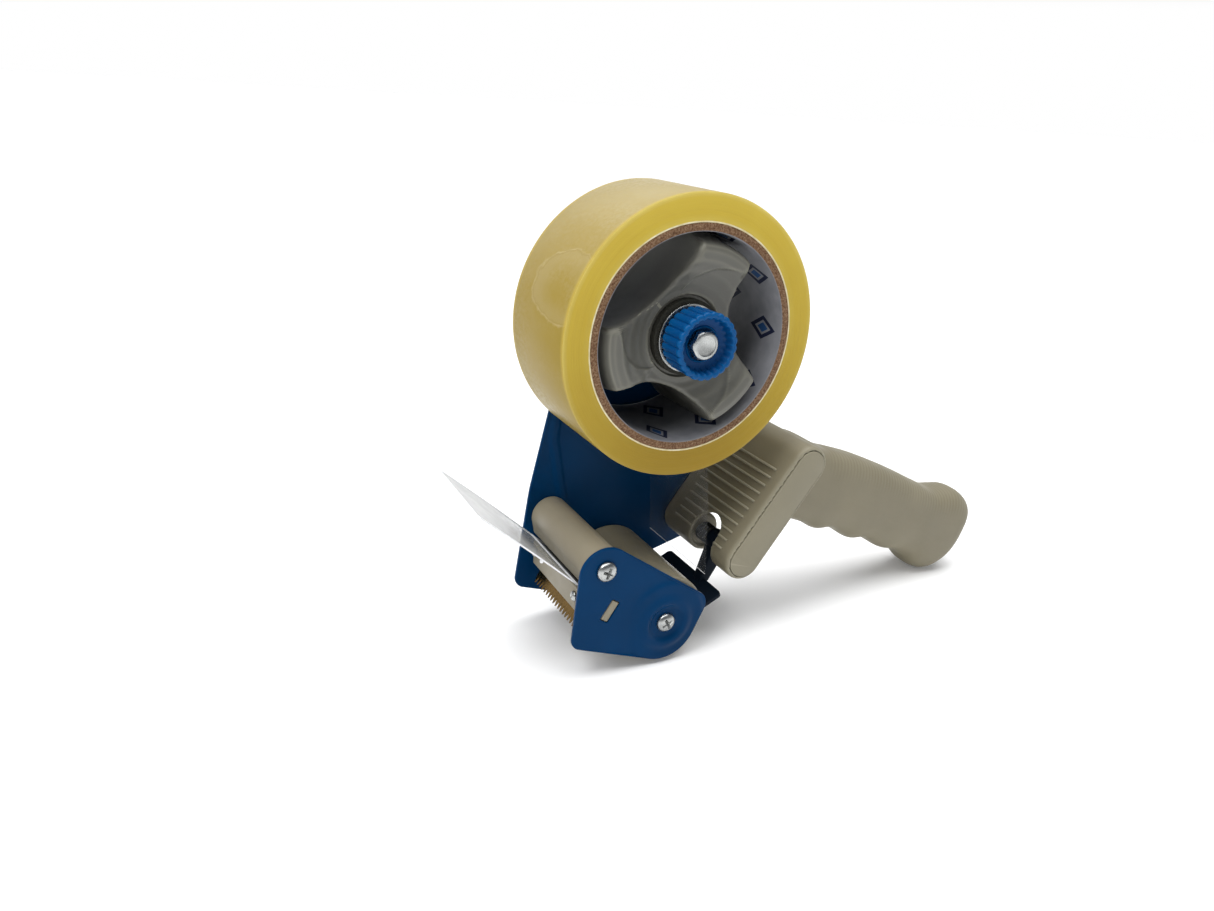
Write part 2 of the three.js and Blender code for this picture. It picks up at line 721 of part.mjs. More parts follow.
function axleNut() {
  const from = MAIN_FACE;
  const dome = turned([
    [0, from - 1],
    [7.6, from - 1],
    [7.6, from + 4.2],
    [6, from + 5],
    [0, from + 5],
  ], 24);
  return hexagon(13, from, from + 5).intersect(dome).subtract(rod(AXLE.thread + 0.25, 20, 40));
}

add('hub', hub(), material.hubPlastic);
add('hub_axle', hubAxle(), material.steel);
add('axle_nut', axleNut(), material.steel);
add('friction_ring', tube(13.8, AXLE.radius - 2, STACK.ringFront, STACK.ringBack), material.rubberRing);
add('pressure_washer', tube(13.2, AXLE.bore, STACK.washerFront, STACK.washerBack), material.steel);

// The knob's rim is fluted: its radius swells and shrinks around the turn.
function fluted(radius, depth, count) {
  const steps = count * 4;
  const points = [];
  for (let i = 0; i < steps; i += 1) {
    const angle = (2 * Math.PI * i) / steps;
    const r = radius - depth * Math.abs(Math.sin((count * angle) / 2)) ** 3;
    points.push([r * Math.cos(angle), r * Math.sin(angle)]);
  }
  return polygon(points);
}

function tensionKnob() {
  const { front, back, radius, flutes, recess, web } = KNOB;
  return prism(fluted(radius, 0.9, flutes), front, back)
    .subtract(rod(radius - 2.4, front - 1, recess, 36))
    .subtract(rod(radius - 3, web, back + 1, 36))
    .subtract(hexagon(10 + 2 * GAP, recess - 1, recess + 2.4))
    .subtract(rod(AXLE.bore, recess - 1, web + 1, 20));
}

function knobBolt() {
  const head = KNOB.recess + 2.4 - GAP;
  const dish = turned([[0, head - 5], [4.2, head - 5], [3.4, head - 3.2], [0, head - 3.2]], 20);
  return hexagon(10, head - 3.8, head)
    .add(rod(2.95, head - 1, 8, 20))
    .subtract(dish);
}

add('tension_knob', tensionKnob(), material.blueKnob);
add('knob_bolt', knobBolt(), material.steel);
add('brake_spring', wireSpring(6.3, 1.3, -24, -20.2, 2.6, 0, 34), material.springSteel);

// ---- roll of tape ----------------------------------------------------------------------------

const { radius: rollRadius, coreOuter, coreInner, linerInner, width: tapeWidth } = TAPE;
const edge = tapeWidth / 2;
add('core_liner', tube(coreInner - GAP, linerInner, -edge, edge, 48), material.paper);
add('tape_core', tube(coreOuter, coreInner, -edge, edge, 48), material.card);
add('tape_roll', tube(rollRadius, coreOuter + GAP, -edge, edge, 72), material.tape);

function tapeTail() {
  const { top, bend, end, thickness } = TAIL;
  const path = new THREE.CatmullRomCurve3([top, bend, end].map(([x, z]) => new THREE.Vector3(x, z, 0)));
  const left = path.getPoints(6).map((p) => [p.x, p.y]);
  const right = left.map(([x, z]) => [x + thickness, z]).reverse();
  return prism(polygon([...left, ...right].reverse()), -edge, edge);
}

add('tape_tail', tapeTail(), material.film);

// ---- place the tool on its footprint ---------------------------------------------------------

tool.position.set(0, 0, -TABLE_Z);
const part = new THREE.Group();
part.add(tool);
const extent = new THREE.Box3().setFromObject(part, true);
const centre = extent.getCenter(new THREE.Vector3());
tool.position.x -= centre.x;
tool.position.y -= centre.y;
part.updateMatrixWorld(true);

export default part;
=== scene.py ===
"""Looks of a hand-held packing tape dispenser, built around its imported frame."""
from math import atan2, copysign, cos, degrees, exp, hypot, pi, radians, sin, sqrt, tan

import bmesh
import bpy
from mathutils import Matrix, Vector
from mathutils.geometry import delaunay_2d_cdt


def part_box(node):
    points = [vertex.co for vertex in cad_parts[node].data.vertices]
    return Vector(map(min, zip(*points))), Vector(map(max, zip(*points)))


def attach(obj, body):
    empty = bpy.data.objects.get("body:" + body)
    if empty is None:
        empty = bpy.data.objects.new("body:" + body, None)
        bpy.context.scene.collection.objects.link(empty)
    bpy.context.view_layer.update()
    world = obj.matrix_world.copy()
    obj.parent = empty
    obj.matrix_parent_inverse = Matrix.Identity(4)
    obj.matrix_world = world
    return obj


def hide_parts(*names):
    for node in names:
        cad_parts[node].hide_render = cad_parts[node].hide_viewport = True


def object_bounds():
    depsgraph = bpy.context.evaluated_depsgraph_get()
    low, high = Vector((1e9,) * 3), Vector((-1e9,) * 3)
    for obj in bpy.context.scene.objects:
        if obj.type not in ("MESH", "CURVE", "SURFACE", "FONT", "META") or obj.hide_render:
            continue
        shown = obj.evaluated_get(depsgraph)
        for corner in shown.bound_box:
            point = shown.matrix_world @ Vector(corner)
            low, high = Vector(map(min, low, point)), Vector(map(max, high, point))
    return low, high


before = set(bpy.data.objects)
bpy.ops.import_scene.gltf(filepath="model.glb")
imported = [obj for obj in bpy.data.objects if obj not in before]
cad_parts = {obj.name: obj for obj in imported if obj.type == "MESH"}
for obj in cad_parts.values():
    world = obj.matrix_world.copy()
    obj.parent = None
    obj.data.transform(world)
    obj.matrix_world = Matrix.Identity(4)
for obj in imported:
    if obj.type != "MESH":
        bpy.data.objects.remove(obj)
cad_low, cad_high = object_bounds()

# ---- the drawing: millimetres, measured from the hub axis at the middle of the tape ----

MM = 0.001
ROLL_LOW, ROLL_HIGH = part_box("tape_roll")
HUB_CENTRE = (ROLL_LOW + ROLL_HIGH) / 2


def span(node):
    """Lowest and highest corner of a CAD node in the drawing."""
    low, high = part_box(node)
    return (low - HUB_CENTRE) / MM, (high - HUB_CENTRE) / MM


def middle(node):
    low, high = span(node)
    return (low + high) / 2


NEAR = span("cheek_plate")[1].y      # inner faces of the two side plates
FAR = span("main_side_plate")[0].y
PLATE = 1.5
GAP = 0.3
FIT = FAR - GAP
CHEEK_FACE = NEAR - PLATE
MAIN_FACE = FAR + PLATE

ROLL = span("tape_roll")[1]
EDGE = ROLL.y                        # half the tape's width
CORE = span("tape_core")[1].x
LINER = span("core_liner")[1].x
BAR = middle("plate_screw_bar")
ROLLER = middle("applicator_roller")
ROLLER_RADIUS = (span("applicator_roller")[1] - span("applicator_roller")[0]).x / 2
PIVOT = middle("retainer_pin")
BASE_LOW = Vector((31.8, -92.3))
BASE_HIGH = Vector((58.8, -55.1))
BASE_RADIUS = 8.5
BASE_WALL = 1.5
BASE_NEAR = span("handle")[0].y
BASE_TILT = atan2(*(BASE_HIGH - BASE_LOW).yx)
SEAT = Vector((-29.2, -101.3))       # middle of the wall that carries the blade
SEAT_TILT = radians(57.4)
SEAT_HALF = 1.65
FLAP_ROOT = Vector((-32.6, -97.9))
FLAP_TILT = radians(138.7)


def polar(angle):
    return Vector((cos(angle), sin(angle)))


def along(origin, tilt, ahead, aside):
    """The point ahead of an origin along a tilt in the XZ plane, and aside to its left."""
    left = Vector((-sin(tilt), cos(tilt)))
    return origin + polar(tilt) * ahead + left * aside


def smooth_step(value):
    value = min(max(value, 0), 1)
    return value * value * (3 - 2 * value)


# ---- outlines ----

def rounded(corners, step=6):
    """Closed outline through (a, b, radius) corners, each with an arc, in steps of some degrees."""
    points = []
    for i, (a, b, radius) in enumerate(corners):
        corner = Vector((a, b))
        if radius <= 0:
            points.append(corner)
            continue
        before = (Vector(corners[i - 1][:2]) - corner).normalized()
        after = (Vector(corners[(i + 1) % len(corners)][:2]) - corner).normalized()
        half = before.angle(after) / 2
        centre = corner + (before + after).normalized() * radius / sin(half)
        start = corner + before * radius / tan(half) - centre
        end = corner + after * radius / tan(half) - centre
        turn = atan2(start.x * end.y - start.y * end.x, start.dot(end))
        steps = max(2, round(degrees(abs(turn)) / step))
        for k in range(steps + 1):
            points.append(centre + Matrix.Rotation(turn * k / steps, 2) @ start)
    return points


def circle(centre, radius, count=48):
    return [Vector(centre) + radius * polar(2 * pi / count * k) for k in range(count)]


def stadium(low, high, radius, count=24):
    """Outline of a bar with round ends."""
    tilt = atan2(*(high - low).yx)
    return [centre + radius * polar(tilt + start + pi * k / count)
            for centre, start in ((high, -pi / 2), (low, pi / 2))
            for k in range(count + 1)]


def inset(outline, amount):
    """The outline moved inwards, for an outline that runs anticlockwise."""
    made = []
    for before, point, after in zip(outline[-1:] + outline, outline, outline[1:] + outline[:1]):
        ahead = ((point - before).normalized() + (after - point).normalized()).normalized()
        made.append(point + amount * Vector((-ahead.y, ahead.x)))
    return made


def anticlockwise(outline):
    area = sum(a.x * b.y - a.y * b.x for a, b in zip(outline, outline[1:] + outline[:1]))
    return outline if area > 0 else outline[::-1]


def spline(points, count):
    """Points evenly spread in parameter on a Catmull-Rom curve through the given points."""
    ends = [2 * points[0] - points[1], *points, 2 * points[-1] - points[-2]]
    made = []
    for i in range(count + 1):
        t = i / count * (len(points) - 1)
        k = min(int(t), len(points) - 2)
        t -= k
        a, b, c, d = ends[k:k + 4]
        made.append(0.5 * (2 * b + (c - a) * t + (2 * a - 5 * b + 4 * c - d) * t ** 2
                           + (3 * b - a - 3 * c + d) * t ** 3))
    return made


# ---- solids ----

def bridge(bm, first, second):
    """Faces between two rings of vertices; a ring of one vertex is a point on the axis."""
    count = max(len(first), len(second))
    for k in range(count):
        n = (k + 1) % count
        if len(first) == 1:
            bm.faces.new((first[0], second[n], second[k]))
        elif len(second) == 1:
            bm.faces.new((first[k], first[n], second[0]))
        else:
            bm.faces.new((first[k], first[n], second[n], second[k]))


def close(bm):
    bmesh.ops.recalc_face_normals(bm, faces=bm.faces)
    return bm


def moved(bm, matrix):
    bmesh.ops.transform(bm, matrix=matrix, verts=bm.verts)
    return bm


def at(bm, x, y, z):
    bmesh.ops.translate(bm, vec=(x, y, z), verts=bm.verts)
    return bm


def revolve(profile, segments=128, centre=(0, 0), shape=None):
    """Turns (radius, y) points about an axis along Y. shape(angle) gives the profile at each
    angle of a piece that isn't round. A profile that doesn't reach the axis closes on itself."""
    bm = bmesh.new()
    angles = [2 * pi * k / segments for k in range(segments)]
    profiles = [shape(angle) if shape else profile for angle in angles]
    rings = []
    for row in zip(*profiles):
        if abs(row[0][0]) < 1e-6:
            rings.append([bm.verts.new((centre[0], row[0][1], centre[1]))])
            continue
        rings.append([bm.verts.new((centre[0] + radius * cos(angle), y,
                                    centre[1] + radius * sin(angle)))
                      for angle, (radius, y) in zip(angles, row)])
    open_ended = len(rings[0]) == 1 or len(rings[-1]) == 1
    for first, second in zip(rings, rings[1:] + ([] if open_ended else rings[:1])):
        bridge(bm, first, second)
    return close(bm)


def ring_solid(outer, inner, near, far, edge=0.3, segments=160, centre=(0, 0)):
    return revolve(rounded([(inner, near, edge), (outer, near, edge), (outer, far, edge),
                            (inner, far, edge)], 30), segments, centre)


def slab(outlines, near, far, edge=0.3):
    """A plate drawn in X and Z with holes and rounded edges, from y near to y far."""
    curve = bpy.data.curves.new("slab", "CURVE")
    curve.dimensions = "2D"
    curve.fill_mode = "BOTH"
    curve.extrude = (far - near) / 2 - edge
    curve.bevel_depth = edge
    curve.bevel_resolution = 2
    curve.offset = -edge
    for outline in outlines:
        line = curve.splines.new("POLY")
        line.points.add(len(outline) - 1)
        for point, (x, z) in zip(line.points, outline):
            point.co = (x, z, 0, 1)
        line.use_cyclic_u = True
    holder = bpy.data.objects.new("slab", curve)
    bm = bmesh.new()
    bm.from_mesh(holder.to_mesh())
    bpy.data.objects.remove(holder)
    bpy.data.curves.remove(curve)
    bmesh.ops.remove_doubles(bm, verts=bm.verts, dist=1e-4)
    turn = Matrix(((1, 0, 0, 0), (0, 0, 1, (near + far) / 2), (0, 1, 0, 0), (0, 0, 0, 1)))
    return close(moved(bm, turn))


def pressed_plate(outline, holes, near, far, height, step=1.0, edge=0.35):
    """A sheet metal plate whose faces follow height(x, z), with rounded edges all round."""
    loops = [anticlockwise(outline)] + [anticlockwise(hole)[::-1] for hole in holes]
    flat = [inset(loop, edge) for loop in loops]
    points = [p for loop in flat for p in loop]
    edges = []
    first = 0
    for loop in flat:
        edges += [(first + i, first + (i + 1) % len(loop)) for i in range(len(loop))]
        first += len(loop)
    low = Vector((min(p.x for p in outline), min(p.y for p in outline)))
    high = Vector((max(p.x for p in outline), max(p.y for p in outline)))
    for i in range(int((high.x - low.x) / step) + 1):
        for k in range(int((high.y - low.y) / step) + 1):
            spot = low + Vector((i + (k % 2) / 2, k)) * step
            if is_inside(spot, flat[0], step / 2) and not any(
                    is_inside(spot, hole[::-1], -step / 2) for hole in flat[1:]):
                points.append(spot)
    verts, _, faces, origins, _, _ = delaunay_2d_cdt(points, edges, [], 0, 1e-5)
    keep = [f for f in faces if is_kept(sum((verts[i] for i in f), Vector((0, 0))) / 3, flat)]
    bm = bmesh.new()
    levels = []
    for y in (near, far):
        levels.append([bm.verts.new((p.x, y + height(p.x, p.y), p.y)) for p in verts])
        for face in keep:
            bm.faces.new([levels[-1][i] for i in face])
    index = {source: i for i, sources in enumerate(origins) for source in sources}
    first = 0
    for loop, inner in zip(loops, flat):
        ends = [[level[index[first + i]] for i in range(len(loop))] for level in levels]
        rings = ends[:1]
        for start, depth, turns in ((near, edge, (1, 2, 3)), (far, -edge, (3, 2, 1))):
            for angle in (turn * pi / 6 for turn in turns):
                y = start + depth * (1 - cos(angle))
                spots = [a.lerp(b, sin(angle)) for a, b in zip(inner, loop)]
                rings.append([bm.verts.new((p.x, y + height(p.x, p.y), p.y)) for p in spots])
        rings.append(ends[1])
        for one, two in zip(rings, rings[1:]):
            bridge(bm, one, two)
        first += len(loop)
    loose = [v for v in bm.verts if not v.link_faces]
    bmesh.ops.delete(bm, geom=loose, context="VERTS")
    return close(bm)


def distance_to(point, a, b):
    """Distance from a point to the straight stretch from a to b."""
    side = b - a
    t = min(max((point - a).dot(side) / max(side.length_squared, 1e-12), 0), 1)
    return (a + side * t - point).length


def is_inside(point, outline, margin=0.0):
    """Whether a point is inside by more than margin, or, for a negative one, inside or near."""
    sides = list(zip(outline, outline[1:] + outline[:1]))
    crossed = [a for a, b in sides if (a.y > point.y) != (b.y > point.y)
               and point.x < a.x + (b.x - a.x) * (point.y - a.y) / (b.y - a.y)]
    inside = len(crossed) % 2 == 1
    if margin == 0:
        return inside
    nearest = min(distance_to(point, a, b) for a, b in sides)
    return inside and nearest > margin if margin > 0 else inside or nearest < -margin


def is_kept(point, loops):
    return is_inside(point, loops[0]) and not any(is_inside(point, hole) for hole in loops[1:])


def loft(rings):
    """A body through rings of points, with flat ends."""
    bm = bmesh.new()
    rings = [[bm.verts.new(point) for point in ring] for ring in rings]
    for first, second in zip(rings, rings[1:]):
        bridge(bm, first, second)
    bm.faces.new(rings[0])
    bm.faces.new(rings[-1])
    return close(bm)


def wire_through(points, radius, sides=12):
    """Round wire through 3D points, with flat ends."""
    points = [Vector(p) for p in points]
    side = (points[1] - points[0]).orthogonal().normalized()
    rings = []
    for i, point in enumerate(points):
        before = points[max(i - 1, 0)]
        after = points[min(i + 1, len(points) - 1)]
        ahead = (after - before).normalized()
        side = (side - ahead * side.dot(ahead)).normalized()
        up = ahead.cross(side)
        rings.append([point + radius * (side * cos(a) + up * sin(a))
                      for a in (2 * pi * k / sides for k in range(sides))])
    return loft(rings)


def tilted(origin, tilt, ahead, aside, y):
    """Matrix that turns a body along a tilt and puts it at the point ahead and aside."""
    spot = along(origin, tilt, ahead, aside)
    return Matrix.Translation((spot.x, y, spot.y)) @ Matrix.Rotation(-tilt, 4, "Y")


def turned_box(origin, tilt, ahead, aside, y, size):
    """A box of (length along the tilt, depth along Y, height across the tilt)."""
    bm = bmesh.new()
    bmesh.ops.create_cube(bm, size=1)
    return moved(bm, tilted(origin, tilt, ahead, aside, y) @ Matrix.Diagonal((*size, 1)))


def to_mesh(name, bm):
    mesh = bpy.data.meshes.new(name)
    bm.to_mesh(mesh)
    bm.free()
    return mesh


def linked(name, data):
    """A new object in the scene."""
    made = bpy.data.objects.new(name, data)
    bpy.context.scene.collection.objects.link(made)
    return made


def combine(*parts):
    """One bmesh holding several closed bodies side by side."""
    whole = bmesh.new()
    for part in parts:
        mesh = to_mesh("part", part)
        whole.from_mesh(mesh)
        bpy.data.meshes.remove(mesh)
    return whole


def through_modifiers(bm, *steps):
    """Runs Blender modifiers, given as (type, settings), on a bmesh."""
    holder = linked("work", to_mesh("work", bm))
    helpers = []
    for kind, settings in steps:
        modifier = holder.modifiers.new(kind, kind)
        for key, value in settings.items():
            if isinstance(value, bmesh.types.BMesh):
                value = linked("tool", to_mesh("tool", value))
                helpers.append(value)
            setattr(modifier, key, value)
    evaluated = holder.evaluated_get(bpy.context.evaluated_depsgraph_get())
    result = bmesh.new()
    result.from_mesh(evaluated.to_mesh())
    for used in (holder, *helpers):
        bpy.data.objects.remove(used)
    return result


def boolean(operation, bm, tools):
    return through_modifiers(bm, *[
        ("BOOLEAN", {"operation": operation, "solver": "MANIFOLD", "object": tool})
        for tool in tools])


def cut(bm, *tools):
    return boolean("DIFFERENCE", bm, tools)


def join(bm, *tools):
    return boolean("UNION", bm, tools)


def common(bm, *tools):
    return boolean("INTERSECT", bm, tools)


def bevel(bm, width, segments=3, angle=30):
    return through_modifiers(bm, ("BEVEL", {
        "width": width, "segments": segments, "limit_method": "ANGLE",
        "angle_limit": radians(angle), "use_clamp_overlap": True}))


def piece(name, bm, look, body, slot, *nodes, sharp=35):
    """Places a drawn solid in the frame as a finished piece that stands for its CAD nodes."""
    mesh = to_mesh(name, bm)
    mesh.transform(Matrix.Translation(HUB_CENTRE) @ Matrix.Scale(MM, 4))
    mesh.shade_smooth()
    mesh.set_sharp_from_angle(angle=radians(sharp))
    for material in look if isinstance(look, (list, tuple)) else [look]:
        mesh.materials.append(material)
    made = linked(name, mesh)
    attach(made, body)
    if nodes:
        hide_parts(*nodes)


# ---- materials ----

class Look:
    """A principled material under construction."""

    def __init__(self, name, colour, roughness, metallic=0.0, **numbers):
        self.material = bpy.data.materials.new(name)
        self.material.use_nodes = True
        self.tree = self.material.node_tree
        self.shader = self.tree.nodes["Principled BSDF"]
        self.shader.inputs["Base Color"].default_value = (*colour, 1)
        self.shader.inputs["Roughness"].default_value = roughness
        self.shader.inputs["Metallic"].default_value = metallic
        for key, value in numbers.items():
            self.shader.inputs[key.replace("_", " ")].default_value = value
        self.place = self.add("ShaderNodeTexCoord").outputs["Object"]

    def add(self, kind, settings=None, **sockets):
        made = self.tree.nodes.new(kind)
        for key, value in (settings or {}).items():
            setattr(made, key, value)
        for key, value in sockets.items():
            self.feed(made.inputs[key.replace("_", " ")], value)
        return made

    def feed(self, socket, value):
        if isinstance(value, bpy.types.NodeSocket):
            self.tree.links.new(value, socket)
        else:
            socket.default_value = value

    def maths(self, operation, first, second=0.0, clamp=False):
        made = self.add("ShaderNodeMath", {"operation": operation, "use_clamp": clamp})
        self.feed(made.inputs[0], first)
        self.feed(made.inputs[1], second)
        return made.outputs[0]

    def noise(self, size_mm, detail=3.0, stretch=(1, 1, 1), rough=0.5):
        """Noise with features about size_mm across."""
        scaled = self.add("ShaderNodeMapping", Vector=self.place,
                          Scale=[s / (size_mm * MM) for s in stretch])
        made = self.add("ShaderNodeTexNoise", Vector=scaled.outputs[0], Scale=1.0,
                        Detail=detail, Roughness=rough)
        return made.outputs[0]

    def layers(self, radius, scale, detail):
        """Noise that only changes with the distance from the hub axis."""
        return self.add("ShaderNodeTexNoise", {"noise_dimensions": "1D"}, W=radius, Scale=scale,
                        Detail=detail).outputs[0]

    def ramp(self, factor, *stops):
        """Maps a factor through (position, value) stops; a value is a number or a colour."""
        made = self.add("ShaderNodeValToRGB", Fac=factor)
        elements = made.color_ramp.elements
        while len(elements) < len(stops):
            elements.new(0.5)
        for element, (position, value) in zip(elements, stops):
            element.position = position
            colour = value if isinstance(value, (tuple, list)) else (value,) * 3
            element.color = (*colour, 1)
        return made.outputs[0]

    def cloud(self, size_mm, detail, low, high, stretch=(1, 1, 1)):
        """Noise turned into numbers or colours from low to high."""
        return self.ramp(self.noise(size_mm, detail, stretch), (0.3, low), (0.7, high))

    def mix(self, factor, first, second):
        made = self.add("ShaderNodeMix", {"data_type": "RGBA"})
        self.feed(made.inputs[0], factor)
        for socket, value in ((made.inputs[6], first), (made.inputs[7], second)):
            self.feed(socket, (*value, 1) if isinstance(value, (tuple, list)) else value)
        return made.outputs[2]

    def colour(self, value):
        self.feed(self.shader.inputs["Base Color"], value)

    def roughness(self, value):
        self.feed(self.shader.inputs["Roughness"], value)

    def bump(self, height, depth_mm, strength=1.0):
        previous = self.shader.inputs["Normal"]
        sockets = {"Height": height, "Distance": depth_mm * MM, "Strength": strength}
        if previous.is_linked:
            sockets["Normal"] = previous.links[0].from_socket
        made = self.add("ShaderNodeBump", **sockets)
        self.feed(previous, made.outputs[0])

    def plus(self, first, second):
        return self.maths("ADD", first, second)

    def minus(self, first, second):
        return self.maths("SUBTRACT", first, second)

    def times(self, first, second):
        return self.maths("MULTIPLY", first, second)

    def from_hub(self):
        """Place in metres from the hub's centre, as separate X, Y and Z."""
        away = self.add("ShaderNodeVectorMath", {"operation": "SUBTRACT"})
        self.feed(away.inputs[0], self.place)
        self.feed(away.inputs[1], HUB_CENTRE)
        return self.add("ShaderNodeSeparateXYZ", Vector=away.outputs[0]).outputs

    def radial(self):
        """Distance from the hub axis in millimetres, angle around it, and place along it."""
        x, y, z = self.from_hub()
        squares = self.plus(self.times(x, x), self.times(z, z))
        radius = self.maths("DIVIDE", self.maths("SQRT", squares), MM)
        return radius, self.maths("ARCTAN2", z, x), self.maths("DIVIDE", y, MM)


def shade(colour, factor):
    return tuple(channel * factor for channel in colour)


def moulded(name, colour, roughness=0.42, grain=0.014, paler_tone=None, gloss=0.28, **numbers):
    """Injection moulded plastic: fine spark grain, faint flow marks, and sharp edges made paler as
    a painted highlight, for light glowing through thin plastic and for handling wear.
    """
    look = Look(name, colour, roughness, Specular_IOR_Level=gloss, **numbers)
    tone = look.cloud(26, 3, shade(colour, 0.92), shade(colour, 1.07))
    speck = look.ramp(look.noise(0.5, 2), (0.35, 0.0), (0.75, 1.0))
    tone = look.mix(look.times(speck, 0.12), tone, shade(colour, 1.3))
    if paler_tone:
        # painted highlight: sharp edges turn lighter, for light glowing through the thin plastic
        # and for handling wear
        edge = look.add("ShaderNodeNewGeometry").outputs["Pointiness"]
        edge = look.ramp(edge, (0.50, 0.0), (0.56, 1.0))
        tone = look.mix(look.times(edge, 0.6), tone, paler_tone)
    look.colour(tone)
    look.roughness(look.cloud(7, 4, roughness - 0.07, roughness + 0.08))
    look.bump(look.noise(0.32, 2), grain)
    look.bump(look.noise(14, 2), 0.05)
    return look.material


def painted(name, colour):
    """Stoved paint on pressed steel, with soft clouding and a slight waviness."""
    look = Look(name, colour, 0.34, Specular_IOR_Level=0.055)
    look.colour(look.ramp(look.noise(34, 2), (0.3, shade(colour, 0.86)),
                          (0.72, shade(colour, 1.12))))
    look.roughness(look.ramp(look.noise(14, 2), (0.35, 0.3), (0.7, 0.42)))
    look.bump(look.noise(9, 1), 0.02)
    return look.material


def metal(name, colour, roughness, streak=(1, 1, 1), spots=0.25):
    """Plated or ground steel, with darker spots and fine streaks."""
    look = Look(name, colour, roughness, 1.0)
    look.colour(look.ramp(look.noise(3.5, 5), (0.35, shade(colour, 1 - spots)),
                          (0.65, shade(colour, 1.05))))
    look.roughness(look.cloud(0.7, 4, roughness * 0.75, roughness * 1.35, streak))
    look.bump(look.noise(0.5, 3, streak), 0.004)
    return look.material


def mottled(name, colour, roughness, tones, grain=None, **numbers):
    """A material whose colour clouds between tones (size, detail, low, high), over a grain of
    (size, detail, depth)."""
    look = Look(name, colour, roughness, **numbers)
    look.colour(look.cloud(*tones))
    if grain:
        size, detail, depth = grain
        look.bump(look.noise(size, detail), depth)
    return look.material


def wound_tape():
    """Amber film on the roll: cut edges on the sides with painted shade on their lower part, air
    caught under the outer wraps, and painted light paling the top of the outer face.
    """
    look = Look("wound_tape", (0.5, 0.4, 0.1), 0.2, Specular_IOR_Level=0.07,
                Subsurface_Weight=0.1, Subsurface_Radius=(0.004, 0.003, 0.001))
    maths, plus, minus, times = look.maths, look.plus, look.minus, look.times
    mix, ramp, noise = look.mix, look.ramp, look.noise
    radius, angle, place = look.radial()
    normal = look.add("ShaderNodeTexCoord").outputs["Normal"]
    facing = look.add("ShaderNodeSeparateXYZ", Vector=normal).outputs[1]
    is_side = ramp(maths("ABSOLUTE", facing), (0.45, 0.0), (0.75, 1.0))
    below = times(minus(1.0, maths("SINE", angle)), 0.5)

    # cut side: smooth and saturated, its tone changing with depth in the winding, and painted shade
    # darkening it towards the bottom
    depth = maths("DIVIDE", minus(radius, CORE), ROLL.x - CORE)
    side = ramp(depth, (0.0, (0.56, 0.435, 0.085)), (0.3, (0.52, 0.385, 0.052)),
                (0.82, (0.55, 0.41, 0.060)), (0.97, (0.62, 0.50, 0.13)), (1.0, (0.66, 0.56, 0.20)))
    side = mix(ramp(noise(22, 2), (0.35, 0.0), (0.7, 0.4)), side, (0.46, 0.32, 0.042))
    # painted shade: the cut side darkens towards the bottom of the roll
    painted_shade_below = ramp(below, (0.0, 0.0), (0.45, 0.22), (0.85, 0.62), (1.0, 0.85))
    side = mix(painted_shade_below, side, (0.235, 0.145, 0.018))
    wraps = look.layers(radius, 3.2, 4.0)
    side = mix(ramp(wraps, (0.48, 0.0), (0.8, 0.2)), side, (0.40, 0.28, 0.045))

    # outer face: amber where the wraps cling, pale where air is caught between them, and paler
    # towards the top as painted light
    amber = (0.248, 0.170, 0.014)
    pale = (0.37, 0.308, 0.168)
    # painted light: the outer face turns paler towards the top of the roll
    loose = ramp(below, (0.02, 1.0), (0.14, 0.52), (0.38, 0.12), (1.0, 0.06))
    froth = ramp(noise(1.4, 5, (1, 0.7, 1), 0.65), (0.38, 0.0), (0.66, 1.0))
    patch = ramp(noise(24, 3, (1, 0.55, 1), 0.5), (0.40, 0.0), (0.62, 1.0))
    # the painted light on top, together with patches of caught air
    air = maths("ADD", times(loose, 0.85), times(times(froth, patch), 0.28), True)
    face = mix(air, amber, pale)

    # one flat pocket of air, with a raised border and a shadow inside it
    pocket_place, pocket_width, pocket_angle, pocket_turn = -12.0, 24.0, 2.76, 0.26
    across = maths("DIVIDE", minus(place, pocket_place), pocket_width)
    around = maths("DIVIDE", minus(angle, pocket_angle), pocket_turn)
    away = maths("SQRT", plus(times(across, across), times(around, around)))
    away = plus(away, times(noise(9, 3), 0.5))
    ragged = minus(away, 0.25)
    border = ramp(ragged, (0.90, 0.0), (0.95, 1.0), (1.0, 0.0))
    border = times(border, ramp(noise(5, 4), (0.4, 0.15), (0.6, 1.0)))
    shadow = ramp(ragged, (0.86, 0.0), (0.9, 1.0), (0.95, 0.0))
    pocket = times(ramp(away, (0.55, 0.0), (1.0, 0.24)), maths("LESS_THAN", away, 1.2))
    face = mix(pocket, face, pale)
    face = mix(times(shadow, 0.25), face, (0.2, 0.13, 0.015))
    face = mix(times(border, 0.25), face, (0.55, 0.46, 0.25))
    rim = ramp(maths("DIVIDE", maths("ABSOLUTE", place), EDGE), (0.90, 0.0), (1.0, 0.8))
    face = mix(rim, face, (0.46, 0.34, 0.055))
    look.colour(mix(is_side, face, side))
    look.roughness(mix(is_side, ramp(froth, (0.0, 0.3), (1.0, 0.45)), (0.42, 0.42, 0.42)))
    look.bump(times(wraps, is_side), 0.04)
    look.bump(times(border, minus(1.0, is_side)), 0.06)
    look.bump(noise(12, 2), 0.10)
    return look.material


def card():
    """Wound board: coarse fibres across its plies."""
    look = Look("card_core", (0.16, 0.075, 0.042), 0.95, Specular_IOR_Level=0.1)
    plies = look.layers(look.radial()[0], 2.6, 2.0)
    fibre = look.noise(0.7, 6, (1, 1, 1), 0.75)
    tone = look.ramp(fibre, (0.32, (0.045, 0.024, 0.014)), (0.5, (0.17, 0.098, 0.055)),
                     (0.68, (0.37, 0.245, 0.15)))
    look.colour(look.mix(look.ramp(plies, (0.35, 0.0), (0.7, 0.4)), tone, (0.11, 0.055, 0.03)))
    look.bump(fibre, 0.22)
    return look.material


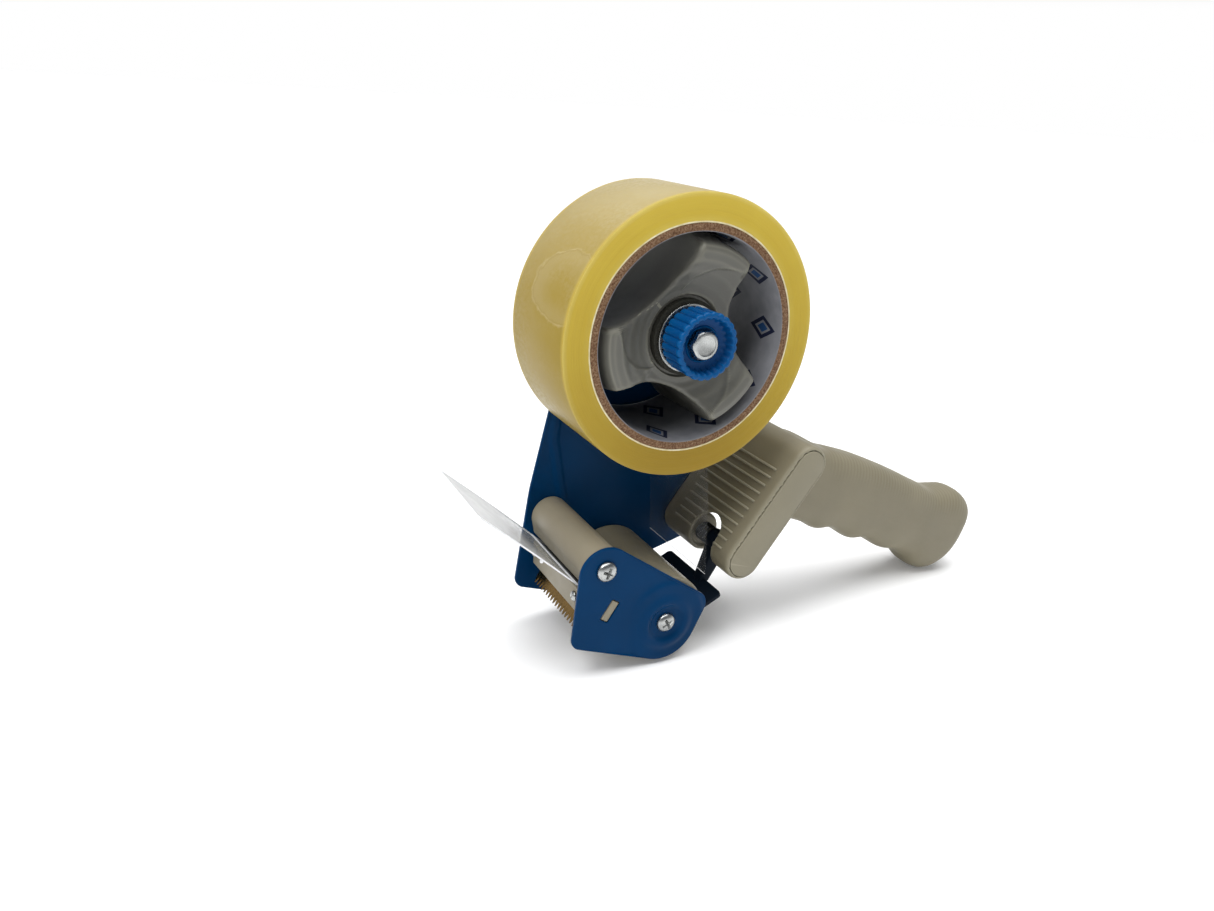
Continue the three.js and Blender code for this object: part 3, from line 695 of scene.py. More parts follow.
def liner_paper():
    """Pale paper with a plain pattern of small two-tone diamonds."""
    look = Look("paper_liner", (0.2, 0.205, 0.225), 0.7, Specular_IOR_Level=0.2)
    maths, minus = look.maths, look.minus
    _, angle, place = look.radial()
    paper = look.cloud(6, 5, (0.17, 0.173, 0.187), (0.225, 0.228, 0.24))
    round_count = 11
    row = maths("DIVIDE", place, 2 * pi * LINER / round_count)
    turn = look.times(angle, round_count / (2 * pi))
    turn = look.plus(turn, look.times(maths("FLOOR", row), 0.5))
    across = maths("ABSOLUTE", minus(maths("FRACT", turn), 0.5))
    up = maths("ABSOLUTE", minus(maths("FRACT", row), 0.5))
    away = look.plus(look.times(across, 1.7), up)
    band = look.times(maths("LESS_THAN", away, 0.36), maths("GREATER_THAN", away, 0.23))
    toned = look.mix(band, paper, (0.004, 0.008, 0.030))
    look.colour(look.mix(maths("LESS_THAN", away, 0.15), toned, (0.012, 0.06, 0.17)))
    look.bump(look.noise(0.6, 4), 0.03)
    return look.material


def flap_sheet():
    """Flexible sheet, clear where it is clamped and milky towards its free end."""
    look = Look("flap_sheet", (0.4, 0.41, 0.42), 0.36, Alpha=0.5, Specular_IOR_Level=0.2)
    ahead = look.maths("DIVIDE", look.from_hub()[0], FLAP_ROOT.x * MM)
    milky = look.ramp(look.minus(ahead, 1.0), (0.52, 0.0), (0.80, 1.0))
    clear = look.cloud(8, 4, (0.25, 0.265, 0.28), (0.30, 0.315, 0.33))
    paler_tone = look.cloud(8, 4, (0.48, 0.49, 0.495), (0.57, 0.575, 0.58))
    look.colour(look.mix(milky, clear, paler_tone))
    look.feed(look.shader.inputs["Alpha"], look.ramp(milky, (0.0, 0.40), (1.0, 0.62)))
    look.roughness(look.cloud(3, 4, 0.28, 0.46))
    look.bump(look.noise(0.8, 3), 0.02)
    return look.material


BLUE_PAINT = painted("blue_paint", (0.0002, 0.031, 0.098))
GRIP_PLASTIC = moulded("beige_plastic", (0.188, 0.167, 0.112), 0.46, paler_tone=(0.33, 0.31, 0.23))
BAR_PLASTIC = moulded("bar_plastic", (0.232, 0.204, 0.145), 0.38)
ROLLER_PLASTIC = moulded("roller_plastic", (0.20, 0.180, 0.128), 0.36)
HUB_PLASTIC = moulded("hub_plastic", (0.102, 0.100, 0.085), 0.36, paler_tone=(0.27, 0.26, 0.20),
                      Coat_Weight=0.1, Coat_Roughness=0.25)
KNOB_PLASTIC = moulded("blue_knob_plastic", (0.0004, 0.047, 0.165), 0.33, 0.006,
                       paler_tone=(0.001, 0.095, 0.27), gloss=0.12)
ZINC = metal("zinc_steel", (0.40, 0.41, 0.40), 0.27)
BLADE_STEEL = metal("blade_steel", (0.205, 0.125, 0.04), 0.24, (0.08, 1, 1), 0.15)
WIRE_STEEL = metal("spring_steel", (0.14, 0.15, 0.155), 0.3)
BLACK_STEEL = painted("black_steel", (0.005, 0.009, 0.016))
RING = (0.014, 0.0138, 0.010)
FRICTION = mottled("friction_rubber", RING, 0.75, (0.8, 5, shade(RING, 0.6), shade(RING, 1.9)),
                   (0.4, 4, 0.05), Specular_IOR_Level=0.2)
CARD = card()
PAPER = liner_paper()
TAPE = wound_tape()
PALE_WRAP = mottled("wound_tape_first_wrap", (0.62, 0.55, 0.33), 0.5,
                    (2.5, 4, (0.52, 0.44, 0.22), (0.70, 0.64, 0.43)))
FILM = mottled("tape_film", (0.30, 0.31, 0.32), 0.1,
               (9, 3, (0.26, 0.27, 0.28), (0.42, 0.43, 0.44), (1, 1, 0.2)), (22, 2, 0.25),
               Alpha=0.055, Specular_IOR_Level=0.3)
# painted highlight: the tape's cut end is drawn near-white and nearly opaque
FILM_EDGE_HIGHLIGHT = mottled("tape_film_edge_highlight", (0.8, 0.81, 0.82), 0.2,
                    (4, 3, (0.7, 0.71, 0.72), (0.88, 0.89, 0.89)), Alpha=0.9)
FLAP = flap_sheet()
FLAP_EDGE = mottled("flap_edge", (0.86, 0.87, 0.88), 0.4,
                    (2, 3, (0.72, 0.73, 0.74), (0.88, 0.88, 0.89)))

# ---- side plates ----


def plate_holes():
    """Two screw holes, and the slot for the blade holder's tab."""
    hole, length, width = 2.2, 8.7 + 2 * GAP, 3.9
    corners = [(-length / 2, -width / 2), (length / 2, -width / 2), (length / 2, width / 2),
               (-length / 2, width / 2)]
    return [circle(BAR.xz, hole, 20), circle(ROLLER.xz, hole, 20),
            rounded([(*along(SEAT, SEAT_TILT, *c), 0.6) for c in corners])]


def main_side_plate():
    outline = rounded([
        (-46.9, -114.8, 5), (1.8, -131.3, 15), (16, -110.6, 5), (38.5, -104, 8), (68, -57, 9),
        (60, -46.5, 6), (30, -22, 22), (25, 25, 24), (-24.5, 25, 23), (-28, -14, 30),
        (-41, -72, 60)])
    line = [Vector(p) for p in ((-22, -20), (-29.6, -38), (-31.3, -50), (-28.5, -66), (-25.8, -80))]
    bead_half, dish_radius, deepest = 2.2, 27.0, 0.78

    def height(x, z):
        nearest = min(distance_to(Vector((x, z)), a, b) for a, b in zip(line, line[1:]))
        bead = 0.77 * smooth_step((bead_half - nearest) / 0.9)
        dish = 0.8 * smooth_step((dish_radius - hypot(x, z)) / 5)
        return -min(bead + dish, deepest)
    return pressed_plate(outline, plate_holes(), FAR, MAIN_FACE, height, 0.85)


def cheek_plate():
    outline = rounded([
        (-41, -65.8, 10.8), (-44.8, -114.2, 4.5), (1.8, -131.3, 15), (16, -105.1, 6)])
    ring_radius, dimple_radius, shoulder_radius = 13, 8.8, 18.5

    def height(x, z):
        away = hypot(x - ROLLER.x, z - ROLLER.z)
        crown = smooth_step((ring_radius - away) / 4.0)
        crown -= 1.5 * smooth_step((dimple_radius - away) / 2.6)
        shoulder = 0.85 * smooth_step((shoulder_radius - away) / 2.6)
        shoulder *= smooth_step((x - ROLLER.x + 16) / 7)
        return -(crown + shoulder)
    return pressed_plate(outline, plate_holes(), CHEEK_FACE, NEAR, height, 0.8)


piece("side_plate_main", main_side_plate(), BLUE_PAINT, "frame", "blue_paint", "main_side_plate")
piece("side_plate_cheek", cheek_plate(), BLUE_PAINT, "frame", "blue_paint", "cheek_plate")

# ---- screws ----

SCREW_RISE = 2.4                     # height of a full-size head
SCREW_LENGTH = 8


def screw(size):
    """Pan head with a tapered cross recess; the head stands out along -Y from y = 0."""
    head, rise, shank = 4 * size, SCREW_RISE * size, 1.9 * size
    steps = 12
    profile = [(0, -rise)]
    for angle in (pi / 2 * k / steps for k in range(1, steps + 1)):
        profile.append((head * sin(angle) ** 0.8, -rise * (0.12 + 0.88 * cos(angle))))
    profile += [(head, -0.1 * size), (head - 0.12 * size, 0), (shank, 0),
                (shank, SCREW_LENGTH - 1), (0, SCREW_LENGTH)]
    arms = []
    for turn in (0, pi / 2):
        arm = bmesh.new()
        bmesh.ops.create_cone(arm, cap_ends=True, segments=4, radius1=0.35 * size,
                              radius2=3.8 * size, depth=2.4 * size)
        for matrix in (Matrix.Rotation(pi / 4, 4, "Z"), Matrix.Diagonal((1, 0.24, 1, 1)),
                       Matrix.Rotation(turn, 4, "Z"), Matrix.Rotation(pi / 2, 4, "X")):
            moved(arm, matrix)
        arms.append(at(arm, 0, -1.25 * size, 0))
    return bevel(cut(revolve(profile, 64), *arms), 0.08 * size, 2, 40)


def pan_screw(node, spin, facing, size):
    """A screw in its node's place, turned about its own axis, with its head on one side."""
    low, high = span(node)
    place = (low + high) / 2
    if facing == "near":
        turn = Matrix.Identity(4)
        place.y = low.y + SCREW_RISE * size
    elif facing == "far":
        turn = Matrix.Rotation(pi, 4, "X")
        place.y = high.y - SCREW_RISE * size
    else:
        turn = Matrix.Rotation(-pi / 2, 4, "Z")
        place.x = low.x + SCREW_RISE * size
    matrix = Matrix.Translation(place) @ turn @ Matrix.Rotation(radians(spin), 4, "Y")
    piece(node.replace("screw", "pan_screw"), moved(screw(size), matrix), ZINC, "frame",
          "zinc_steel", node)


for node, spin, facing, size in (
        ("cheek_screw_bar", 20, "near", 1), ("cheek_screw_roller", 62, "near", 1),
        ("plate_screw_bar", 40, "far", 1), ("plate_screw_roller", 10, "far", 1),
        ("handle_screw_low", 15, "far", 1), ("handle_screw_middle", 50, "far", 1),
        ("handle_screw_high", 85, "far", 1), ("cover_screw_near", 30, "front", 0.5),
        ("cover_screw_far", 30, "front", 0.5)):
    pan_screw(node, spin, facing, size)

# ---- blade holder, cover, blade and flap ----


def blade_holder():
    """The round cross bar with the slanted seat for the blade, and a tab at each end."""
    radius = 8.1
    bar = slab([circle(BAR.xz, radius, 96)], -FIT, FIT, 0.5)
    seat = [along(SEAT, SEAT_TILT, *p) for p in ((3.6, 2.9), (3.6, SEAT_HALF), (-8, SEAT_HALF),
                                                 (-8, -SEAT_HALF), (8, -SEAT_HALF))]
    profile = [(-39.9, -85.2, 0), (-38.9, -90.5, 0.5), (-32.0, -96.7, 0.3), (*seat[0], 0.2),
               (*seat[1], 0.2), (*seat[2], 0.4), (*seat[3], 0.4), (*seat[4], 1.2),
               (-24.0, -84.4, 0)]
    body = slab([rounded(profile)], -FIT, FIT, 0.35)
    tab = turned_box(SEAT, SEAT_TILT, 0, 0, 0, (8.6, FAR - NEAR + 2 * PLATE - 0.3, 2 * SEAT_HALF))
    return join(bar, body, bevel(tab, 0.45, 3))


def blade_cover():
    front, low, high = -40.4, -102.8, -91.3
    clearance = SEAT_HALF + 2 * GAP + 0.6
    lower = along(SEAT, SEAT_TILT, -7, clearance)
    upper = along(SEAT, SEAT_TILT, 0.4, clearance)
    return slab([rounded([(front, high, 0.8), (front, low, 1.2), (*lower, 0.6), (*upper, 0.4)])],
                -21.5, 21.5, 0.5)


piece("holder_with_bar", blade_holder(), BAR_PLASTIC, "frame", "beige_plastic", "blade_holder")
piece("blade_clamp_cover", blade_cover(), BAR_PLASTIC, "frame", "beige_plastic", "blade_cover")

# The blade keeps its CAD solid: only its finish is set.
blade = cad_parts["blade"]
blade.data.materials.clear()
blade.data.materials.append(BLADE_STEEL)

FLAP_HALF = 22.0
FLAP_THICK = 0.6
FLAP_LENGTH = 63.0
FLAP_MOUTH = 11.35


def flap_bow(ahead, aside):
    """How far the free sheet bows down from flat, at a place along and across it."""
    free = max(ahead - FLAP_MOUTH, 0) / (FLAP_LENGTH - FLAP_MOUTH)
    return -0.15 * sin(pi * free) * (1 + (aside / FLAP_HALF) ** 2)


def thin_sheet(rows, columns, spot, only_end=False):
    """Two faces through spot(row, column, side), closed by a border. The border uses the second
    material, all round or at the last row only."""
    bm = bmesh.new()
    grid = [[[bm.verts.new(spot(i, k, side)) for side in (0, 1)] for k in range(columns + 1)]
            for i in range(rows + 1)]
    for line, after in zip(grid, grid[1:]):
        for k in range(columns):
            for side in (0, 1):
                bm.faces.new((line[k][side], after[k][side], after[k + 1][side],
                              line[k + 1][side]))
    end = grid[rows]
    border = (grid[0] + [line[columns] for line in grid[1:]] + end[-2::-1]
              + [line[0] for line in grid[rows - 1:0:-1]])
    for one, two in zip(border, border[1:] + border[:1]):
        face = bm.faces.new((one[0], two[0], two[1], one[1]))
        face.material_index = int(not only_end or (one in end and two in end))
    return close(bm)


def flap_stretch(start, end, rows, columns=20):
    """The flap's sheet between two distances from its root."""
    corner = 0.8

    def spot(i, k, side):
        ahead = start + (end - start) * i / rows
        back = max(0.0, ahead - (FLAP_LENGTH - corner))
        half = FLAP_HALF - (corner - sqrt(max(corner ** 2 - back ** 2, 0)))
        y = half * (2 * k / columns - 1)
        x, z = along(FLAP_ROOT, FLAP_TILT, ahead, flap_bow(ahead, y) - FLAP_THICK * side)
        return x, y, z
    return thin_sheet(rows, columns, spot)


def wiper_flap():
    """The free sheet, with the small pip left on its near side."""
    spot = along(FLAP_ROOT, FLAP_TILT, 31, -FLAP_THICK / 2)
    pip = at(revolve([(0, -0.7), (0.5, -0.6), (0.7, 0), (0.5, 0.5), (0, 0.6)], 20,
                     (spot.x, spot.y - 0.5)), 0, -FLAP_HALF + 0.3, 0)
    for face in pip.faces:
        face.material_index = 1
    return combine(flap_stretch(FLAP_MOUTH, FLAP_LENGTH, 60), pip)


piece("flap_clamped_root", flap_stretch(0.2, FLAP_MOUTH - 0.1, 8), [FLAP, FLAP_EDGE], "frame",
      "flap_sheet", "wiper_flap_root")
piece("flap_free_sheet", wiper_flap(), [FLAP, FLAP_EDGE], "flap", "flap_sheet", "wiper_flap")

# ---- applicator roller ----


def roller():
    """Hollow roller: an outer wall, recessed ends, and a bored boss at each end."""
    half, recess, boss, bore = FIT - 0.2, 6.0, 6.0, 3.1
    inner = ROLLER_RADIUS - 3.0
    profile = [(ROLLER_RADIUS, -half, 0.9), (ROLLER_RADIUS, half, 0.9), (inner, half, 0.5),
               (inner, half - recess, 0.8), (boss, half - recess, 0.8), (boss, half, 0.4),
               (bore, half, 0.2), (bore, -half, 0.2), (boss, -half, 0.4),
               (boss, -half + recess, 0.8), (inner, -half + recess, 0.8), (inner, -half, 0.5)]
    return revolve(rounded(profile, 15), 144, ROLLER.xz)


piece("roller_body", roller(), ROLLER_PLASTIC, "roller", "roller_plastic", "applicator_roller")
piece("roller_spindle", ring_solid(3.0, 2.2, -FIT, FIT, 0.2, 48, ROLLER.xz), ZINC, "frame",
      "zinc_steel", "roller_axle")

# ---- handle ----

GRIP_BACK = [
    (61, -50.5), (67.5, -49.6), (82.2, -57), (91, -59.9), (103.2, -63.9), (116.2, -69.2),
    (129.6, -75.2), (143.8, -82.2), (154.7, -87.2), (163.5, -88.4), (170.5, -89.6), (176.4, -94.2),
    (179.6, -101.4)]
GRIP_FINGERS = [
    (50, -73), (64, -86), (77, -92), (83.8, -96), (92, -96.8), (98.8, -100.6), (105.2, -104.5),
    (112.6, -105.4), (119.6, -109.2), (126.6, -113.3), (134.6, -115.4), (141.6, -119.6),
    (147.4, -126), (154.4, -129.35), (161, -128), (168, -121.6), (176, -110.2)]
GRIP_HALF = 13.5
GRIP_SQUARE = 0.7
GRIP_STATIONS = 110
GRIP_SIDES = 56


def grip():
    """The grip: squared ovals between its back and its finger side, closing in at the butt."""
    upper = spline([Vector(p) for p in GRIP_BACK], GRIP_STATIONS)
    lower = spline([Vector(p) for p in GRIP_FINGERS], GRIP_STATIONS)
    before_butt, butt = 0.88, 0.12   # shares of the length

    def squared(value):
        return copysign(abs(value) ** GRIP_SQUARE, value)
    rings = []
    for i, (top, bottom) in enumerate(zip(upper, lower)):
        end = max(0, (i / GRIP_STATIONS - before_butt) / butt)
        half = GRIP_HALF * sqrt(1 - 0.82 * end ** 2)
        ring = []
        for angle in (2 * pi * k / GRIP_SIDES for k in range(GRIP_SIDES)):
            spot = bottom.lerp(top, (1 + squared(cos(angle))) / 2)
            ring.append((spot.x, half * squared(sin(angle)), spot.y))
        rings.append(ring)
    return loft(rings)


NOTCH = (-13, 3.2, 9)                # near side, far side and top of the arch


def notch():
    """The arched slot for the retainer, and its way out through the back wall."""
    near, far, top, back_far, low = *NOTCH, 19, -20
    radius = (far - near) / 2
    front = turned_box(BASE_LOW, BASE_TILT, (low + top - radius) / 2, 0, (near + far) / 2,
                       (top - radius - low, far - near, 30))
    arch = bmesh.new()
    bmesh.ops.create_cone(arch, cap_ends=True, segments=64, radius1=radius, radius2=radius,
                          depth=30)
    moved(arch, tilted(BASE_LOW, BASE_TILT, top - radius, 0, (near + far) / 2))
    back = turned_box(BASE_LOW, BASE_TILT, top / 2 - 2, -BASE_RADIUS, (near + back_far) / 2,
                      (top + 4, back_far - near, 2 * BASE_WALL + 4))
    return front, arch, back


def pin_wall(near, far, top):
    """A wall across the hollow that holds the retainer's pin."""
    end = along(BASE_LOW, BASE_TILT, top - 4, 0)
    return slab([stadium(BASE_LOW, end, BASE_RADIUS - BASE_WALL + 0.4)], near, far, 0.3)


def cavity():
    return slab([stadium(BASE_LOW, BASE_HIGH, BASE_RADIUS - BASE_WALL)], BASE_NEAR - 2,
                FIT - 4.7, 0.3)


def handle():
    shell = cut(slab([stadium(BASE_LOW, BASE_HIGH, BASE_RADIUS)], BASE_NEAR, FIT, 1.9), cavity(),
                *notch())
    tail = cut(grip(), cavity())
    whole = through_modifiers(
        combine(shell, tail, pin_wall(-16, -13.4, 7), pin_wall(5.6, 8, 4.2)),
        ("REMESH", {"mode": "VOXEL", "voxel_size": 0.55, "adaptivity": 0.0}),
        ("SMOOTH", {"factor": 0.5, "iterations": 7}))
    carve_grip_lines(whole)
    return whole


def carve_grip_lines(bm):
    """Fine raised lines across the top of the grip, fading out at its sides and its front."""
    start, end = Vector(GRIP_BACK[2]), Vector(GRIP_BACK[8])
    forward = (end - start).normalized()
    last = (end - start).length + 22
    pitch, height, steepest = 2.0, 0.055, 0.05
    bm.normal_update()
    for v in bm.verts:
        run = (Vector((v.co.x, v.co.z)) - start).dot(forward)
        if run < 0 or run > last or v.normal.z < steepest:
            continue
        fade = smooth_step(run / 6) * smooth_step((v.normal.z - steepest) / 0.5)
        v.co += v.normal * height * fade * cos(2 * pi * run / pitch)


def handle_ribs():
    """Low ribs across the front face of the base, cut short where the notch is."""
    count, first, pitch, start, end = 11, -1.1, 3.85, -19.5, 16.5
    near, far, top = NOTCH
    middle_y, arch = (near + far) / 2, (far - near) / 2
    clear, shortest = 0.8, 1.5
    ribs = []
    for i in range(count):
        ahead = first + i * pitch
        ends = [(start, end)]
        if ahead < top + clear:
            over = max(ahead - (top - arch), 0)
            half = sqrt(max((arch + clear) ** 2 - over ** 2, 0))
            ends = [(start, middle_y - half), (middle_y + half, end)]
        for a, b in ends:
            if b - a >= shortest:
                rib = turned_box(BASE_LOW, BASE_TILT, ahead, BASE_RADIUS - 0.1, (a + b) / 2,
                                 (0.95, b - a, 1.6))
                ribs.append(bevel(rib, 0.3, 3))
    return combine(*ribs)


def end_cap():
    """The oblong cap in the mouth of the base, with a thin gap around it."""
    inner = BASE_RADIUS - BASE_WALL - 0.22
    return slab([stadium(BASE_LOW, BASE_HIGH, inner, 40)], BASE_NEAR + 0.05, BASE_NEAR + 2.4, 0.3)


piece("handle_moulding", handle(), GRIP_PLASTIC, "frame", "beige_plastic", "handle", sharp=60)
piece("handle_front_ribs", handle_ribs(), GRIP_PLASTIC, "frame", "beige_plastic", "handle")
piece("handle_side_cap", end_cap(), GRIP_PLASTIC, "frame", "beige_plastic", "handle_end_cap")

# ---- tape retainer ----

TONGUE_BACK = Vector((24.8, -107.3))
TONGUE_TIP = Vector((15.4, -111.9))
TONGUE_TILT = atan2(*(TONGUE_TIP - TONGUE_BACK).yx)
TONGUE_LENGTH = (TONGUE_TIP - TONGUE_BACK).length


def retainer():
    """A flat tongue under the roller, with an arm to the barrel on its pin."""
    low, high = span("tape_retainer")
    thick = 1.6
    corners = [(low.y, 0), (high.y, 0), (high.y, TONGUE_LENGTH), (low.y, TONGUE_LENGTH)]
    sheet = slab([rounded([(*c, 2.0) for c in corners])], 0, thick, 0.25)
    across = Vector((0, 1, 0))
    down = Vector((cos(TONGUE_TILT), 0, sin(TONGUE_TILT)))
    face = Vector((-sin(TONGUE_TILT), 0, cos(TONGUE_TILT)))
    basis = Matrix((across, face, down)).transposed().to_4x4()
    moved(sheet, Matrix.Translation((TONGUE_BACK.x, 0, TONGUE_BACK.y)) @ basis)
    near, far, barrel, bore = -9.8, -4.2, 4.6, 2.1
    tilt = atan2(PIVOT.z - TONGUE_BACK.y, PIVOT.x - TONGUE_BACK.x)
    arm = slab([rounded([
        (*along(PIVOT.xz, tilt, 0, -barrel), 0), (*along(PIVOT.xz, tilt, 0, barrel - 1), 0),
        (*along(TONGUE_BACK, TONGUE_TILT, 3, 0.1), 0.4),
        (*along(TONGUE_BACK, TONGUE_TILT, 3, thick), 0.4),
        (*along(TONGUE_BACK, TONGUE_TILT, -1.1, thick), 0.6)])], near, far, 0.4)
    hub = ring_solid(barrel, bore, near, far, 0.4, 48, PIVOT.xz)
    return close(combine(sheet, arm, hub))


def coil(radius, wire, near, far, turns, leg, start):
    """Round wire wound about the Y axis, with straight ends of length leg."""
    around, ending = 40, 4           # points in a turn, and in a leg
    steps = int(turns * around)
    points = []
    for i in range(-ending, steps + ending + 1):
        on = min(max(i, 0), steps)
        angle = start + 2 * pi * turns * on / steps
        spare = (i - on) * leg / ending
        points.append((radius * cos(angle) - spare * sin(angle), near + (far - near) * on / steps,
                       radius * sin(angle) + spare * cos(angle)))
    return wire_through(points, wire / 2)


piece("retainer_tongue", retainer(), BLACK_STEEL, "retainer", "black_steel", "tape_retainer")
piece("retainer_pivot_pin", revolve([(0, -18), (1.5, -18), (1.85, -17.6), (1.85, 10.6), (1.5, 11),
                                     (0, 11)], 48, PIVOT.xz), WIRE_STEEL, "frame", "zinc_steel",
      "retainer_pin")
piece("retainer_wire_spring", at(coil(3.7, 1, -3.1, 4, 5, 2.8, radians(-60)), PIVOT.x, 0,
                                 PIVOT.z), WIRE_STEEL, "frame", "spring_steel",
      "retainer_spring")

# ---- hub ----

HUB_BACK, HUB_OUTER, HUB_WAIST = 22.0, 37.4, 19.0
HUB_FACE, HUB_BOSS, HUB_BORE, HUB_SKIN = -14.7, 14.6, 6.1, 2.2
LOBE_HALF, LOBE_TURN = 18.5, 70.0    # degrees


def from_lobe(angle):
    """Degrees between an angle and the middle of the nearest lobe."""
    return (degrees(angle) - LOBE_TURN + 60) % 120 - 60


def star_radius(angle):
    """Distance from the axis to the hub's outline: three lobes joined by hollow curves."""
    away = radians(60 - abs(from_lobe(angle)))
    side = radians(60 - LOBE_HALF)
    if away > side:
        return HUB_OUTER
    corner = Vector((HUB_OUTER * cos(side), HUB_OUTER * sin(side)))
    centre = (corner.length_squared - HUB_WAIST ** 2) / (2 * (corner.x - HUB_WAIST))
    radius = centre - HUB_WAIST
    inside = radius ** 2 - (centre * sin(away)) ** 2
    return centre * cos(away) - sqrt(max(inside, 0))


STAR_STEPS = 720


def soft_star():
    """The outline with its corners eased, as a list of radii."""
    raw = [star_radius(2 * pi * k / STAR_STEPS) for k in range(STAR_STEPS)]
    window = range(-7, 8)
    spread = 3.2
    weights = [exp(-(d / spread) ** 2) for d in window]
    total = sum(weights)
    return [sum(w * raw[(k + d) % STAR_STEPS] for w, d in zip(weights, window)) / total
            for k in range(STAR_STEPS)]


STAR = soft_star()
HUB_PROFILE = [(14.6, -14.7), (15.3, -15.9), (17.2, -15.9), (20, -16.8), (25, -19.3),
               (28.5, -21.3), (31.4, -21.6), (33.2, -21.1), (34.4, -19.6), (35.1, -17),
               (35.9, -12), (37.5, -4)]


def hub_front(radius):
    """Height of the hub's front face before the lobes' steps."""
    for (r0, y0), (r1, y1) in zip(HUB_PROFILE, HUB_PROFILE[1:]):
        if radius <= r1:
            share = (radius - r0) / (r1 - r0)
            return y0 + (y1 - y0) * smooth_step(share) * 0.5 + (y1 - y0) * max(0, share) * 0.5
    return HUB_PROFILE[-1][1]


def hub_profile(angle):
    """Closed section of the hub at an angle: front skin, wall, inside and the bored boss."""
    k = round(angle / (2 * pi) * STAR_STEPS) % STAR_STEPS
    outer, inner, back = STAR[k], STAR[k] - HUB_SKIN, HUB_BACK
    slope = (STAR[(k + 1) % STAR_STEPS] - STAR[k - 1]) / (4 * pi / STAR_STEPS) / outer
    square_on = 1 / sqrt(1 + slope * slope)
    turn = from_lobe(angle)
    step_at = 26 - 0.2235 * turn - 0.003 * turn * turn
    step_depth = 0.9 * smooth_step((34 - abs(turn)) / 10)
    easing, rows, well = 1.8, 46, 9
    points = [(HUB_BORE, HUB_FACE + 0.4), (HUB_BORE + 0.4, HUB_FACE), (12.6, HUB_FACE),
              (12.9, HUB_FACE + 0.5), (13.5, HUB_FACE + 0.5), (13.8, HUB_FACE)]
    for i in range(rows + 1):
        share = 1 - (1 - i / rows) ** 1.35
        radius = HUB_BOSS + (outer - HUB_BOSS) * share
        y = hub_front(radius) - step_depth * smooth_step((radius - step_at) / 0.7 + 0.5)
        inward = (outer - radius) * square_on
        if inward < easing:
            y += easing - sqrt(max(easing ** 2 - (easing - max(inward, 0)) ** 2, 0))
        points.append((radius, y))
    edge = points[-1][1]
    roof = hub_front(inner - 3) + HUB_SKIN + 2.4
    return (points + [(outer, edge + (back - edge) * t) for t in (0.1, 0.35, 0.7, 1.0)]
            + [(inner, back), (inner, roof + 8), (inner - 1, roof + 3),
               ((inner + 10) / 2, HUB_FACE + 3.4), (well + 0.4, HUB_FACE + 3),
               (well, HUB_FACE + 4), (well, back), (HUB_BORE + 0.3, back),
               (HUB_BORE, back - 0.3)])


piece("hub_moulding", revolve(None, STAR_STEPS // 2, shape=hub_profile), HUB_PLASTIC, "roll",
      "hub_plastic", "hub", sharp=50)


def threaded_axle():
    """The hub's fixed axle: bored journal, flange, and a threaded end through the side plate."""
    end = span("hub_axle")[1].y
    bore, radius, flange, thread, pitch = 3.3, 6.0, 11, 4.0, 1.0
    profile = [(0, 20), (bore, 20), (bore, -10), (5.6, -10), (radius, -9.6), (radius, 22.4),
               (flange - 0.4, 22.4), (flange, 22.8), (flange, FIT), (thread, FIT),
               (thread, MAIN_FACE)]
    y = MAIN_FACE
    while y < end - pitch:
        profile += [(thread, y + 0.1), (thread - 0.4, y + 0.35), (thread - 0.4, y + 0.6),
                    (thread, y + 0.9)]
        y += pitch
    return revolve(profile + [(thread - 0.5, end), (0, end)], 64)


def hexagon(flats, near, far):
    """A six-sided prism, by its width across flats."""
    return slab([circle((0, 0), flats / 2 / cos(pi / 6), 6)], near, far, 0.05)


def nut():
    low, high = (corner.y for corner in span("axle_nut"))
    dome = revolve([(0, low - 1), (7.1, low - 1), (7.1, low), (7.6, low + 0.5), (7.6, high - 0.9),
                    (6.2, high), (0, high)], 96)
    bore = revolve([(0, low - 2), (4.15, low - 2), (4.15, high - 0.5), (4.9, high + 0.5),
                    (0, high + 0.5)], 64)
    return cut(common(hexagon(13, low, high), dome), bore)


piece("hub_axle_turned", threaded_axle(), ZINC, "frame", "zinc_steel", "hub_axle")
piece("axle_hex_nut", nut(), ZINC, "frame", "zinc_steel", "axle_nut")
for name, node, trim, bore, edge, look, slot in (
        ("friction_disc", "friction_ring", 0, 4, 0.35, FRICTION, "friction_rubber"),
        ("pressure_disc", "pressure_washer", 0.75, 3.35, 0.2, ZINC, "zinc_steel")):
    low, high = span(node)
    piece(name, ring_solid(high.x - trim, bore, low.y, high.y, edge), look, "frame", slot, node)

# ---- tension knob ----

KNOB_LOW, KNOB_HIGH = span("tension_knob")
KNOB_RADIUS = KNOB_HIGH.x
FLUTES = 24


